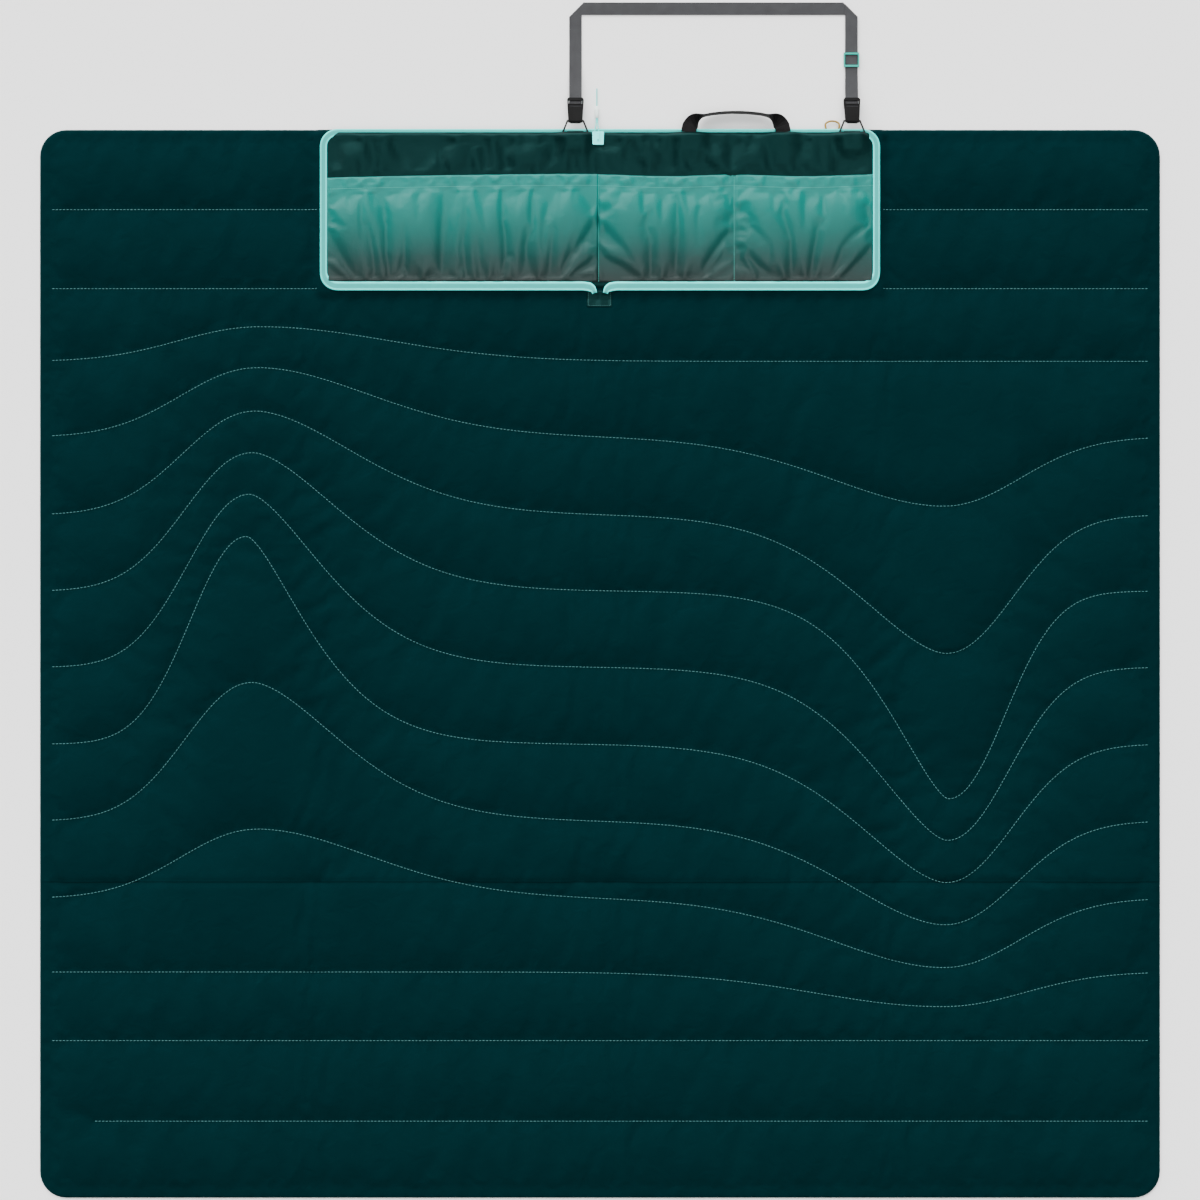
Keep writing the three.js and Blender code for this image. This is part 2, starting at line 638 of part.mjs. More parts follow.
function handleStrip() {
  const left = HANDLE_SIDE.map(([x, y, z]) => new THREE.Vector3(HANDLE_X - x, y, z));
  const right = HANDLE_SIDE.map(([x, y, z]) => new THREE.Vector3(HANDLE_X + x, y, z)).reverse();
  const middle = new THREE.Vector3(HANDLE_X, 773.6, 12.4);
  const curve = new THREE.CatmullRomCurve3([...left, middle, ...right]);
  const geometry = new THREE.BoxGeometry(1, HANDLE_THICKNESS, HANDLE_WIDTH, 40, 1, 1);
  const position = geometry.attributes.position;
  const up = new THREE.Vector3(0, 0, 1);
  for (let i = 0; i < position.count; i++) {
    const t = position.getX(i) + 0.5;
    const fromEnd = 0.5 - Math.abs(t - 0.5);
    const twist = (Math.PI / 2) * THREE.MathUtils.smoothstep(fromEnd, 0.05, 0.22);
    const forward = curve.getTangentAt(t);
    const level = forward.clone().cross(up).normalize();
    const normal = level.clone().cross(forward).normalize();
    const thick = normal.clone().multiplyScalar(Math.cos(twist)).addScaledVector(level, Math.sin(twist));
    const wide = level.clone().multiplyScalar(Math.cos(twist)).addScaledVector(normal, -Math.sin(twist));
    const point = curve.getPointAt(t)
      .addScaledVector(thick, position.getY(i))
      .addScaledVector(wide, position.getZ(i));
    position.setXYZ(i, point.x, point.y, point.z);
  }
  geometry.computeVertexNormals();
  return geometry;
}

addPiece('carry_handle', handleStrip(), 'handle');

// The sewn-in ends of the handle stay with the panel, and the arch turns at the seam.
function handleEnd(x) {
  const y = HANDLE_SEAM - 6 * CLEARANCE;
  const half = HANDLE_WIDTH / 2;
  const z = HANDLE_Z - HANDLE_THICKNESS / 2;
  return block(x - half, x + half, y - HANDLE_TAIL, y, z, z + HANDLE_THICKNESS);
}

addPiece('left_handle_end', handleEnd(HANDLE_X - HANDLE_HALF), 'handle');
addPiece('right_handle_end', handleEnd(HANDLE_X + HANDLE_HALF), 'handle');

// Gear loop: a bight of cord whose ends are sewn into the top edge.

const GEAR_EDGE = TOP_EDGE + 4 * CLEARANCE;
const gearCord = [
  [-GEAR_LOOP_HALF, GEAR_EDGE, 7],
  [-GEAR_LOOP_HALF - 1, GEAR_EDGE + 4, 6.2],
  [-GEAR_LOOP_HALF - 0.5, GEAR_EDGE + 8.5, 5],
  [-GEAR_LOOP_HALF * 0.6, GEAR_EDGE + 11.6, 4.2],
  [0, GEAR_EDGE + 12.7, 4],
  [GEAR_LOOP_HALF * 0.6, GEAR_EDGE + 11.6, 4.2],
  [GEAR_LOOP_HALF + 0.5, GEAR_EDGE + 8.5, 5],
  [GEAR_LOOP_HALF + 1, GEAR_EDGE + 4, 6.2],
  [GEAR_LOOP_HALF, GEAR_EDGE, 7],
];
addPiece('gear_loop', tube(gearCord, GEAR_LOOP_DIAMETER / 2, 8, 24), 'gearCord').position.x = GEAR_LOOP_X;

export default blanket;
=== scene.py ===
"""A quilted camp blanket laid out flat, with its organiser panel, zip, strap and handle."""
import math

import bmesh
import bpy
import numpy as np
from mathutils import Matrix, Vector, noise
from mathutils.bvhtree import BVHTree
from mathutils.geometry import delaunay_2d_cdt
from mathutils.kdtree import KDTree


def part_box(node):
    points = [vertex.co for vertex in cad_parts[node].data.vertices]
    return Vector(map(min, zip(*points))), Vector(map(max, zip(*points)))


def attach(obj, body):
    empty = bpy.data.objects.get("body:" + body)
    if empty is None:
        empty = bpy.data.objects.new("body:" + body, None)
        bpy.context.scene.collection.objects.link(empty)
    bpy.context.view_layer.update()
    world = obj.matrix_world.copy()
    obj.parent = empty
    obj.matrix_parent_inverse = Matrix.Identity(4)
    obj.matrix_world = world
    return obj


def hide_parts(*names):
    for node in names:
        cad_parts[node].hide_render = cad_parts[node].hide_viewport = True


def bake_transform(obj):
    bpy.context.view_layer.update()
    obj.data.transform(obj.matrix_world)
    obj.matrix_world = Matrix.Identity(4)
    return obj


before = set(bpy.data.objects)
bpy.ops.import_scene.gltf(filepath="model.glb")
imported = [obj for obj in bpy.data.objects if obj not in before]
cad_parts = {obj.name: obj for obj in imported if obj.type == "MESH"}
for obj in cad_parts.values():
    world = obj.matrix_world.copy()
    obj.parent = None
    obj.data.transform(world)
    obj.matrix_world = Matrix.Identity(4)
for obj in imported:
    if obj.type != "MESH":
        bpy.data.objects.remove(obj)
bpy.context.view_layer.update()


# The studio: a wide pale floor, a soft lamp low beyond the blanket's top edge, a weaker one
# overhead, an even pale surround, and a long lens straight above the middle.
CAMERA_HEIGHT, FLOOR_HALF, FLOOR_DROP = 5.3, 12, 0.0006
BANDS = 0.314  # a wave pattern of this scale has one band to a metre


def add_node(finish, kind, sockets=None, **settings):
    """Adds a node to a material or world, with its settings, values and links."""
    node = finish.node_tree.nodes.new(kind)
    for key, value in settings.items():
        setattr(node, key, value)
    for key, value in (sockets or {}).items():
        if isinstance(value, bpy.types.NodeSocket):
            finish.node_tree.links.new(value, node.inputs[key])
        else:
            node.inputs[key].default_value = value
    return node


def own_coords(finish):
    """The piece's own coordinates, for a pattern that moves with it."""
    return add_node(finish, "ShaderNodeTexCoord").outputs["Object"]


def bump_of(finish, height, depth, sockets=None):
    """The normal of a surface raised by that depth where its height pattern is full."""
    sockets = {"Height": height, "Distance": depth, **(sockets or {})}
    return add_node(finish, "ShaderNodeBump", sockets).outputs[0]


def mixed_tone(finish, share, low, high):
    """A colour between two, by share. Either may be a plain colour or another node's."""
    low, high = (c if isinstance(c, bpy.types.NodeSocket) else (*c, 1) for c in (low, high))
    return add_node(finish, "ShaderNodeMix", {0: share, 6: low, 7: high}, data_type="RGBA").outputs[2]


def feed(finish, socket, output):
    """Feeds a socket of a finish's shader from a node's output."""
    finish.node_tree.links.new(output, finish.node_tree.nodes["Principled BSDF"].inputs[socket])


def new_finish(name, colour, roughness, sockets=None):
    """A material of one colour and roughness, to which its pattern is added."""
    finish = bpy.data.materials.new(name)
    finish.use_nodes = True
    shader = finish.node_tree.nodes["Principled BSDF"]
    shader.inputs["Base Color"].default_value = (*colour, 1)
    shader.inputs["Roughness"].default_value = roughness
    for key, value in (sockets or {}).items():
        shader.inputs[key].default_value = value
    return finish


def grained(finish, scale, depth, strength=1.0):
    """Adds an even fine grain to a finish's surface."""
    grain = add_node(finish, "ShaderNodeTexNoise", {"Vector": own_coords(finish), "Scale": scale})
    feed(finish, "Normal", bump_of(finish, grain.outputs["Fac"], depth, {"Strength": strength}))


def put_in_scene(name, mesh, *finishes):
    piece = bpy.data.objects.new(name, mesh)
    bpy.context.scene.collection.objects.link(piece)
    for finish in finishes:
        mesh.materials.append(finish)
    return piece


camera = bpy.data.objects.new("camera", bpy.data.cameras.new("camera"))
camera.data.lens = 100
camera.data.sensor_width = 36
camera.location = (0, 0, CAMERA_HEIGHT)
bpy.context.scene.collection.objects.link(camera)
bpy.context.scene.camera = camera

floor_mesh = bpy.data.meshes.new("floor")
floor_bm = bmesh.new()
bmesh.ops.create_grid(floor_bm, x_segments=1, y_segments=1, size=FLOOR_HALF)
bmesh.ops.translate(floor_bm, verts=floor_bm.verts, vec=(0, 0, -FLOOR_DROP))
floor_bm.to_mesh(floor_mesh)
floor_bm.free()
floor = put_in_scene("floor", floor_mesh, new_finish("pale_floor", (0.92, 0.92, 0.92), 0.9))

surround = bpy.data.worlds.new("surround")
surround.use_nodes = True
surround.node_tree.nodes["Background"].inputs["Color"].default_value = (1, 1, 1, 1)
surround.node_tree.nodes["Background"].inputs["Strength"].default_value = 0.6
bpy.context.scene.world = surround


def far_lamp(name, place, spread, strength):
    """A lamp so far off that it lights the whole sheet alike, its spread in degrees."""
    lamp = bpy.data.objects.new(name, bpy.data.lights.new(name, "SUN"))
    lamp.data.angle = math.radians(spread)
    lamp.data.energy = strength
    lamp.rotation_euler = (-Vector(place)).to_track_quat("-Z", "Y").to_euler()
    bpy.context.scene.collection.objects.link(lamp)


far_lamp("top_lamp", (-0.9, 2.6, 1.25), 85, 10)
far_lamp("overhead_lamp", (0.4, -0.6, 3), 40, 2.0)


# Zip pull: a thin braided cord looped through the slider's bail, both strands caught in a
# moulded oval bead, with one strand left on as a short tail that lies on the ground.
def smooth_route(knots, step=0.0012):
    """Points along one smooth curve through the knots, about a step apart."""
    ends = [2 * knots[0] - knots[1], *knots, 2 * knots[-1] - knots[-2]]
    route = []
    for before, a, b, after in zip(ends, ends[1:], ends[2:], ends[3:]):
        count = max(2, round((b - a).length / step))
        for i in range(count):
            t = i / count
            route.append(0.5 * (2 * a + (b - before) * t
                                + (2 * before - 5 * a + 4 * b - after) * t * t
                                + (3 * a - before - 3 * b + after) * t ** 3))
    return [*route, knots[-1]]


def lay_cord(name, route, thickness, finish):
    """A round cord along its route, as a curve of one open spline."""
    curve = bpy.data.curves.new(name, "CURVE")
    curve.dimensions = "3D"
    curve.bevel_depth = thickness / 2
    curve.bevel_resolution = 3
    curve.use_fill_caps = True
    spline = curve.splines.new("POLY")
    spline.points.add(len(route) - 1)
    for point, place in zip(spline.points, route):
        point.co = (*place, 1)
    spline.use_smooth = True
    return put_in_scene(name, curve, finish)


def slanted_ribs(finish, coords, pitch, *slants):
    """Patterns of straight ribs, one for each slant."""
    turned = [add_node(finish, "ShaderNodeMapping", {"Vector": coords, "Rotation": slant}).outputs[0]
              for slant in slants]
    return [add_node(finish, "ShaderNodeTexWave", {"Vector": way, "Scale": BANDS / pitch}).outputs["Fac"]
            for way in turned]


def braid(finish, pitch, depth, colour, dark):
    """Adds a cord's crossing strands, on the cord's own length and girth."""
    coords = own_coords(finish)
    strands = slanted_ribs(finish, coords, pitch, (0.3, 0.2, 0.7), (0.3, 0.2, -0.7))
    crossed = add_node(finish, "ShaderNodeMath", {0: strands[0], 1: strands[1]}, operation="MAXIMUM")
    feed(finish, "Base Color", mixed_tone(finish, crossed.outputs[0], dark, colour))
    feed(finish, "Normal", bump_of(finish, crossed.outputs[0], depth))


PULL_X = -0.005
PULL_THICK = 0.0018
STRANDS_APART, BAIL_SPREAD, GATHERED_BY = 0.0009, 0.0021, 0.019
BEAD_MOUTH, BEAD_MIDDLE, BEAD_HEIGHT = 0.7668, 0.775, 0.0036
BEAD_HALF_WIDTH, BEAD_HALF_DEPTH, BEAD_HALF_LENGTH = 0.0036, 0.0035, 0.010
PULL_ROUTE = [(0.7425, 0.0233), (0.746, 0.0228), (0.7495, 0.0204), (0.7525, 0.0166), (0.755, 0.0124),
              (0.7575, 0.0084), (0.7605, 0.0052), (0.7647, 0.0036)]
TAIL_ROUTE = [(0.770, 0.0036), (0.780, 0.0036), (0.7853, 0.0036), (0.790, 0.0026), (0.796, 0.00135),
              (0.804, 0.00135), (0.813, 0.00135)]
MINT = (0.04, 0.80, 0.74)
pull_finish = new_finish("pull_cord_braid", MINT, 0.6, {"Sheen Weight": 0.2})
braid(pull_finish, 0.0009, 0.0002, MINT, (0.03, 0.35, 0.32))


def strand(side):
    """One strand of the loop, spread at the bail and gathered at the bead."""
    knots = []
    for y, z in PULL_ROUTE:
        spread = STRANDS_APART + BAIL_SPREAD * max(0, 1 - (y - PULL_ROUTE[0][0]) / GATHERED_BY) ** 1.5
        knots.append(Vector((PULL_X + side * spread, y, z)))
    return knots


pull_knots = strand(-1) + [Vector((PULL_X, y, z)) for y, z in TAIL_ROUTE]
pull_cord = lay_cord("pull_cord_strand", smooth_route(pull_knots), PULL_THICK, pull_finish)
return_knots = strand(1) + [Vector((PULL_X + PULL_THICK / 3, BEAD_MOUTH, BEAD_HEIGHT))]
loop_cord = lay_cord("pull_cord_return", smooth_route(return_knots), PULL_THICK, pull_finish)

bead_mesh = bpy.data.meshes.new("pull_bead")
bm = bmesh.new()
bmesh.ops.create_uvsphere(bm, u_segments=24, v_segments=16, radius=1)
for v in bm.verts:
    flat_end = math.copysign(abs(v.co.z) ** 0.8, v.co.z)
    v.co = Vector((v.co.x * BEAD_HALF_WIDTH, v.co.y * BEAD_HALF_DEPTH, flat_end * BEAD_HALF_LENGTH))
bmesh.ops.rotate(bm, verts=bm.verts, cent=(0, 0, 0), matrix=Matrix.Rotation(math.pi / 2, 3, "X"))
bmesh.ops.translate(bm, verts=bm.verts, vec=(PULL_X, BEAD_MIDDLE, BEAD_HEIGHT))
for face in bm.faces:
    face.smooth = True
bm.to_mesh(bead_mesh)
bm.free()
bead_finish = new_finish("pale_bead_plastic", (0.80, 0.90, 0.87), 0.3,
                         {"Subsurface Weight": 0.2, "Subsurface Radius": (0.003, 0.003, 0.003)})
grained(bead_finish, 900, 0.00008, 0.4)
bead = put_in_scene("pull_bead_moulded", bead_mesh, bead_finish)
for piece in (pull_cord, loop_cord, bead):
    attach(piece, "zip_pull")
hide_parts("pull_cord", "pull_cord_tail")
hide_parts("pull_bead")

# Gear loop: a bight of amber kernmantle cord, its two ends sewn into the top edge near the
# right ring. It is stiff enough to stand off the edge and lean to the ground.
GEAR_X = 0.369
GEAR_HALF = [(-0.010, 0.7482, 0.007), (-0.011, 0.7522, 0.0062), (-0.0105, 0.7567, 0.005),
             (-0.006, 0.7598, 0.0042)]
gear_knots = [Vector((GEAR_X + x, y, z)) for x, y, z in GEAR_HALF]
gear_knots += [Vector((GEAR_X, 0.7609, 0.004))]
gear_knots += [Vector((GEAR_X - x, y, z)) for x, y, z in reversed(GEAR_HALF)]
gear_finish = new_finish("amber_cord_braid", (0.30, 0.16, 0.008), 0.65)
braid(gear_finish, 0.001, 0.0002, (0.33, 0.185, 0.008), (0.15, 0.08, 0.003))
gear_loop = lay_cord("gear_loop_cord", smooth_route(gear_knots), 0.003, gear_finish)
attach(gear_loop, "gear_loop")
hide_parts("gear_loop")

# Quilted sheet: a dark teal polyester face and a coated ground cloth with loose filling
# between them, sewn through along thirteen rows. The face is cut slightly full, so it puffs
# between the rows and gathers at the stitches; it is filled here as one cloth.
LEFT, RIGHT, FOOT, TOP = -0.89, 0.89, -0.95, 0.747
CORNER = 0.042
GRAIN = 0.0065
TIGHT_GRAIN = GRAIN * 0.8
RIM_ROW = 0.0035
RIM_CREASE = 0.017
PANEL_ARC = 0.028
SEAM_HEIGHT = 0.0045
RIM_HEIGHT = 0.0024
CROWN_HEIGHT = 0.014
PANEL_BED = 0.0117
PANEL_RIM = 0.0062
PANEL_SLOPE = 0.013
PANEL_HALF, PANEL_FOOT = 0.444, 0.491
JOIN_Y = -0.448
JOIN_DIP, JOIN_SPREAD = 0.0022, 0.0035
GROUND_LIFT, GROUND_PULL, GROUND_SPREAD = 0.0003, 0.002, 0.006
ROW_END, BESIDE_PANEL, LAST_ROW_START = 0.872, 0.448, -0.804
WING_FOLD, CENTRE_FOLD = (0.4445, 0.472), 0.040
QUILT_FULLNESS, QUILT_PRESSURE = 0.017, 25
CUTS = (-0.225, 0.225)
ROW_HEIGHTS = [0.620, 0.4945, 0.379, 0.259, 0.135, 0.014, -0.107, -0.229, -0.351, -0.474, -0.591,
               -0.700, -0.828]
HILL_STEPS = [0, 0, 1, 2, 3, 4, 5, 6, 4, 2, 0, 0, 0]
HOLLOW_STEPS = [0, 0, 0, 2, 4, 6, 5, 4, 3, 2, 1, 0, 0]
STEP = 0.055
ROWS_BESIDE_PANEL = 2


def swell(offset, height, steep_side):
    """A smooth bell that falls faster on one side, and more so the taller it is."""
    steep, long = 0.160 - 0.17 * height, 0.262 - 0.46 * height
    half, power = (steep, 2.1) if offset * steep_side < 0 else (long, 2.1 - 2 * height)
    return 0.5 ** (abs(offset / half) ** power)


def row_at(row, x):
    """The Y of a quilting row: level, with a hill at the left and a hollow at the right."""
    hill, hollow, y = STEP * HILL_STEPS[row], STEP * HOLLOW_STEPS[row], ROW_HEIGHTS[row]
    if hill:
        y += hill * swell(x + 0.534 + 0.08 * hill, hill, 1)
    if hollow:
        y -= hollow * swell(x - 0.541 - 0.036 * hollow, hollow, -1)
    return y


def gone_along(line):
    """How far along a line of points each of them lies."""
    return np.concatenate([[0], np.cumsum([(b - a).length for a, b in zip(line, line[1:])])])


def walk(height, start, end, pace):
    """Points on a line y = height(x), evenly spaced along it."""
    fine = [Vector((x, height(x))) for x in np.linspace(start, end, 3001)]
    gone = gone_along(fine)
    marks = np.linspace(0, gone[-1], max(1, round(gone[-1] / pace)) + 1)
    xs, ys = np.array(fine).T
    return list(zip(np.interp(marks, gone, xs), np.interp(marks, gone, ys)))


def rounded_outline(x0, x1, y0, y1, radius, pace):
    """Points round a rectangle with round corners, evenly spaced."""
    corners = []
    for cx, cy, start in ((x1 - radius, y1 - radius, 0), (x0 + radius, y1 - radius, 90),
                          (x0 + radius, y0 + radius, 180), (x1 - radius, y0 + radius, 270)):
        for i in range(9):
            turn = math.radians(start + 90 * i / 8)
            corners.append(Vector((cx + radius * math.cos(turn), cy + radius * math.sin(turn))))
    outline = []
    for a, b in zip(corners, corners[1:] + corners[:1]):
        count = max(1, round((b - a).length / pace))
        outline += [tuple(a.lerp(b, i / count)) for i in range(count)]
    return outline


def from_rim(x, y):
    """How far inside the sheet's edge a point is."""
    dx = np.abs(x) - RIGHT + CORNER
    dy = np.abs(y - (TOP + FOOT) / 2) - (TOP - FOOT) / 2 + CORNER
    outside = np.hypot(np.maximum(dx, 0), np.maximum(dy, 0))
    return CORNER - outside - np.minimum(np.maximum(dx, dy), 0)


def from_panel(x, y):
    """How far outside the panel a point is."""
    return np.hypot(np.maximum(np.abs(x) - PANEL_HALF, 0), np.maximum(PANEL_FOOT - y, 0))


def ease(t):
    t = np.clip(t, 0, 1)
    return t * t * (3 - 2 * t)


def stitched_height(x, y):
    """The height of the face where it is sewn down: higher where it meets the panel."""
    low = RIM_HEIGHT + (SEAM_HEIGHT - RIM_HEIGHT) * np.clip(from_rim(x, y) / RIM_CREASE, 0, 1)
    return low + (PANEL_BED - low) * ease(1 - from_panel(x, y) / PANEL_SLOPE)


HELD, FREE, JOINED, RIM = range(4)
plan = [(rounded_outline(LEFT, RIGHT, FOOT, TOP, CORNER, GRAIN), True, RIM),
        (rounded_outline(LEFT + RIM_ROW, RIGHT - RIM_ROW, FOOT + RIM_ROW, TOP - RIM_ROW,
                         CORNER - RIM_ROW, GRAIN), True, FREE),
        (rounded_outline(LEFT + RIM_CREASE, RIGHT - RIM_CREASE, FOOT + RIM_CREASE,
                         TOP - RIM_CREASE, CORNER - RIM_CREASE, TIGHT_GRAIN), True, HELD),
        (rounded_outline(-PANEL_HALF - 0.001, PANEL_HALF + 0.001, PANEL_FOOT - 0.001,
                         TOP - RIM_CREASE - 0.0001, PANEL_ARC, TIGHT_GRAIN), True, HELD)]
ROW_SPANS = []
for row in range(len(ROW_HEIGHTS)):
    if row < ROWS_BESIDE_PANEL:
        ROW_SPANS += [(row, -ROW_END, -BESIDE_PANEL), (row, BESIDE_PANEL, ROW_END)]
    else:
        last = row == len(ROW_HEIGHTS) - 1
        ROW_SPANS.append((row, LAST_ROW_START if last else -ROW_END, ROW_END))
for row, start, end in ROW_SPANS:
    plan.append((walk(lambda x, row=row: row_at(row, x), start, end, TIGHT_GRAIN), False, HELD))
plan.append((walk(lambda x: JOIN_Y, -ROW_END, ROW_END, GRAIN), False, JOINED))
for fold_x in (*np.linspace(-WING_FOLD[1], -WING_FOLD[0], 6),
               *np.linspace(-CENTRE_FOLD, CENTRE_FOLD, 13), *np.linspace(*WING_FOLD, 6)):
    height = TOP if abs(fold_x) > PANEL_HALF else PANEL_FOOT
    fold_line = [(fold_x, b) for b in np.arange(FOOT + RIM_CREASE, height - 0.003, GRAIN)]
    plan.append((fold_line, False, FREE))

points, edges, kinds = [], [], []
for line, closed, kind in plan:
    first = len(points)
    points += [Vector(p) for p in line]
    kinds += [kind] * len(line)
    edges += [(first + i, first + i + 1) for i in range(len(line) - 1)]
    if closed:
        edges.append((len(points) - 1, first))
near_line = KDTree(len(points))
for i, p in enumerate(points):
    near_line.insert((*p, 0), i)
near_line.balance()
for j in range(int((TOP - FOOT) / GRAIN / 0.866)):
    for i in range(int((RIGHT - LEFT) / GRAIN)):
        x = LEFT + GRAIN * (i + 0.5 * (j % 2))
        y = FOOT + GRAIN * 0.866 * j
        gap = near_line.find((x, y, 0))[2]
        wanted = gap < 0.016 or (j % 2 == 0 and (i + j // 2) % 2 == 0)
        if wanted and gap > GRAIN * 0.55 and from_rim(x, y) > 0:
            points.append(Vector((x, y)))
            kinds.append(FREE)

flat, _, patches, sources, _, _ = delaunay_2d_cdt(points, edges, [], 0, 1e-5)
flat = np.array([tuple(p) for p in flat])
rank = {RIM: 4, HELD: 3, JOINED: 2, FREE: 1}
kinds = np.array([max((kinds[i] for i in came), key=rank.get, default=HELD) for came in sources])
patches = np.array([p for p in patches if from_rim(*flat[list(p)].mean(0)) > -1e-5])
x, y = flat.T
under_panel = (np.abs(x) < PANEL_HALF + 0.002) & (y > PANEL_FOOT - 0.002)
held = (kinds == HELD) | (kinds == RIM) | under_panel


CLOTH = dict(quality=5, mass=0.1, tension_stiffness=15, compression_stiffness=15, shear_stiffness=5,
             bending_model="ANGULAR", bending_stiffness=1.0, tension_damping=5,
             compression_damping=5, shear_damping=5, bending_damping=0.5, air_damping=2,
             vertex_group_mass="held", use_pressure=True)


def fill_cloth(places, faces, held, fullness, pressure, frames=20):
    """Lets a cloth cut larger than its place by that share swell between the points it is
    held by, and returns where it lies."""
    mesh = bpy.data.meshes.new("filling")
    mesh.from_pydata([tuple(p) for p in places], [], [tuple(f) for f in faces])
    cloth = put_in_scene("filling", mesh)
    pins = cloth.vertex_groups.new(name="held")
    pins.add([int(i) for i in np.flatnonzero(held)], 1.0, "REPLACE")
    motion = cloth.modifiers.new("filling", "CLOTH")
    for key, value in CLOTH.items():
        setattr(motion.settings, key, value)
    motion.settings.uniform_pressure_force = pressure
    motion.settings.shrink_min = -fullness
    motion.settings.effector_weights.gravity = 0
    motion.collision_settings.use_collision = False
    motion.collision_settings.use_self_collision = False
    motion.point_cache.frame_start = 1
    motion.point_cache.frame_end = frames
    for moment in range(1, frames + 1):
        bpy.context.scene.frame_set(moment)
    settled = cloth.evaluated_get(bpy.context.evaluated_depsgraph_get()).to_mesh()
    where = np.zeros(len(places) * 3, np.float32)
    settled.vertices.foreach_get("co", where)
    bpy.context.scene.frame_set(1)
    bpy.data.objects.remove(cloth)
    return where.reshape(-1, 3).astype(float)


unevenness = np.array([0.0008 * noise.noise(Vector((a * 45, b * 45, 3))) + 0.0005 for a, b in flat])
start = np.column_stack([x, y, np.where(held, 0, unevenness)])
face_cloth = fill_cloth(start, patches, held, QUILT_FULLNESS, QUILT_PRESSURE)
rise = CROWN_HEIGHT * np.tanh(np.maximum(face_cloth[:, 2], 0) / CROWN_HEIGHT)
face_cloth[:, 2] = stitched_height(x, y) + rise
join_dip = JOIN_DIP * np.exp(-((y - JOIN_Y) / JOIN_SPREAD) ** 2)
face_cloth[:, 2] -= join_dip * (from_rim(x, y) > RIM_CREASE)
rim = kinds == RIM
face_cloth[rim, 2] = np.where(under_panel[rim], PANEL_RIM, RIM_HEIGHT)
near_held = np.array([near_line.find((a, b, 0))[2] for a, b in flat])
drawn_up = GROUND_PULL * np.exp(-(near_held / GROUND_SPREAD) ** 2)
ground_cloth = np.column_stack([x, y, GROUND_LIFT + drawn_up])
ground_cloth[rim] = face_cloth[rim]


def corner_normals(places, faces):
    normals = np.zeros_like(places)
    a, b, c = (places[faces[:, i]] for i in range(3))
    across = np.cross(b - a, c - a)
    for i in range(3):
        np.add.at(normals, faces[:, i], across)
    return normals


face_normals = corner_normals(face_cloth, patches)
ground_normals = -corner_normals(ground_cloth, patches)
face_normals[rim] += ground_normals[rim]
ground_normals[rim] = face_normals[rim]

quilt_finish = new_finish("quilt_face_cloth", (0.0002, 0.010, 0.012), 0.7,
                          {"Sheen Weight": 0.04, "Sheen Roughness": 0.4,
                           "Sheen Tint": (0.05, 0.6, 0.6, 1), "Specular IOR Level": 0.03,
                           "Specular Tint": (0.1, 0.8, 0.8, 1)})
ground_finish = new_finish("coated_ground_cloth", (0.006, 0.010, 0.011), 0.5,
                           {"Specular IOR Level": 0.1})


def weave(finish, pitch, depth, crease=0.0, crease_size=0.012, on_cut=True):
    """Adds a plain weave of that pitch to a finish's surface, and soft creases."""
    if on_cut:
        coords = add_node(finish, "ShaderNodeUVMap", uv_map="cut").outputs[0]
    else:
        coords = own_coords(finish)
    yarns = [add_node(finish, "ShaderNodeTexWave", {"Vector": coords, "Scale": BANDS / pitch},
                      bands_direction=way).outputs["Fac"] for way in ("X", "Y")]
    cloth = add_node(finish, "ShaderNodeMath", {0: yarns[0], 1: yarns[1]}, operation="MAXIMUM")
    bump = bump_of(finish, cloth.outputs[0], depth)
    if crease:
        folds = add_node(finish, "ShaderNodeTexNoise",
                         {"Vector": coords, "Scale": 1 / crease_size, "Detail": 3, "Distortion": 0.6})
        bump = bump_of(finish, folds.outputs["Fac"], crease, {"Normal": bump})
    feed(finish, "Normal", bump)
    return coords


def mottle(finish, coords, size, colour_a, colour_b):
    """Lets a finish's colour drift between two tones."""
    drift = add_node(finish, "ShaderNodeTexNoise", {"Vector": coords, "Scale": 1 / size, "Detail": 4})
    tone = mixed_tone(finish, drift.outputs["Fac"], colour_a, colour_b)
    feed(finish, "Base Color", tone)
    return tone


cut_coords = weave(quilt_finish, 0.0006, 0.00006, crease=0.0020, crease_size=0.028)
quilt_tone = mottle(quilt_finish, cut_coords, 0.09, (0.0001, 0.0085, 0.0100), (0.0003, 0.0120, 0.0138))
# Painted shade: a thin near-black line along the join seam, standing in for the shadow in its groove;
# the face also dips there in shape.
along_y = add_node(quilt_finish, "ShaderNodeSeparateXYZ", {0: cut_coords}).outputs["Y"]
off_join = add_node(quilt_finish, "ShaderNodeMath", {0: along_y, 1: JOIN_Y}, operation="SUBTRACT")
join_gap = add_node(quilt_finish, "ShaderNodeMath", {0: off_join.outputs[0]}, operation="ABSOLUTE")
join_painted_shade = add_node(quilt_finish, "ShaderNodeMapRange",
                     {"Value": join_gap.outputs[0], "From Min": 0.0004, "From Max": 0.0014,
                      "To Min": 0.5, "To Max": 1})
feed(quilt_finish, "Base Color",
     mixed_tone(quilt_finish, join_painted_shade.outputs[0], (0.0001, 0.0012, 0.0014), quilt_tone))
ground_coords = weave(ground_finish, 0.0009, 0.00012, crease=0.0006, crease_size=0.03)
mottle(ground_finish, ground_coords, 0.12, (0.005, 0.009, 0.010), (0.008, 0.013, 0.014))


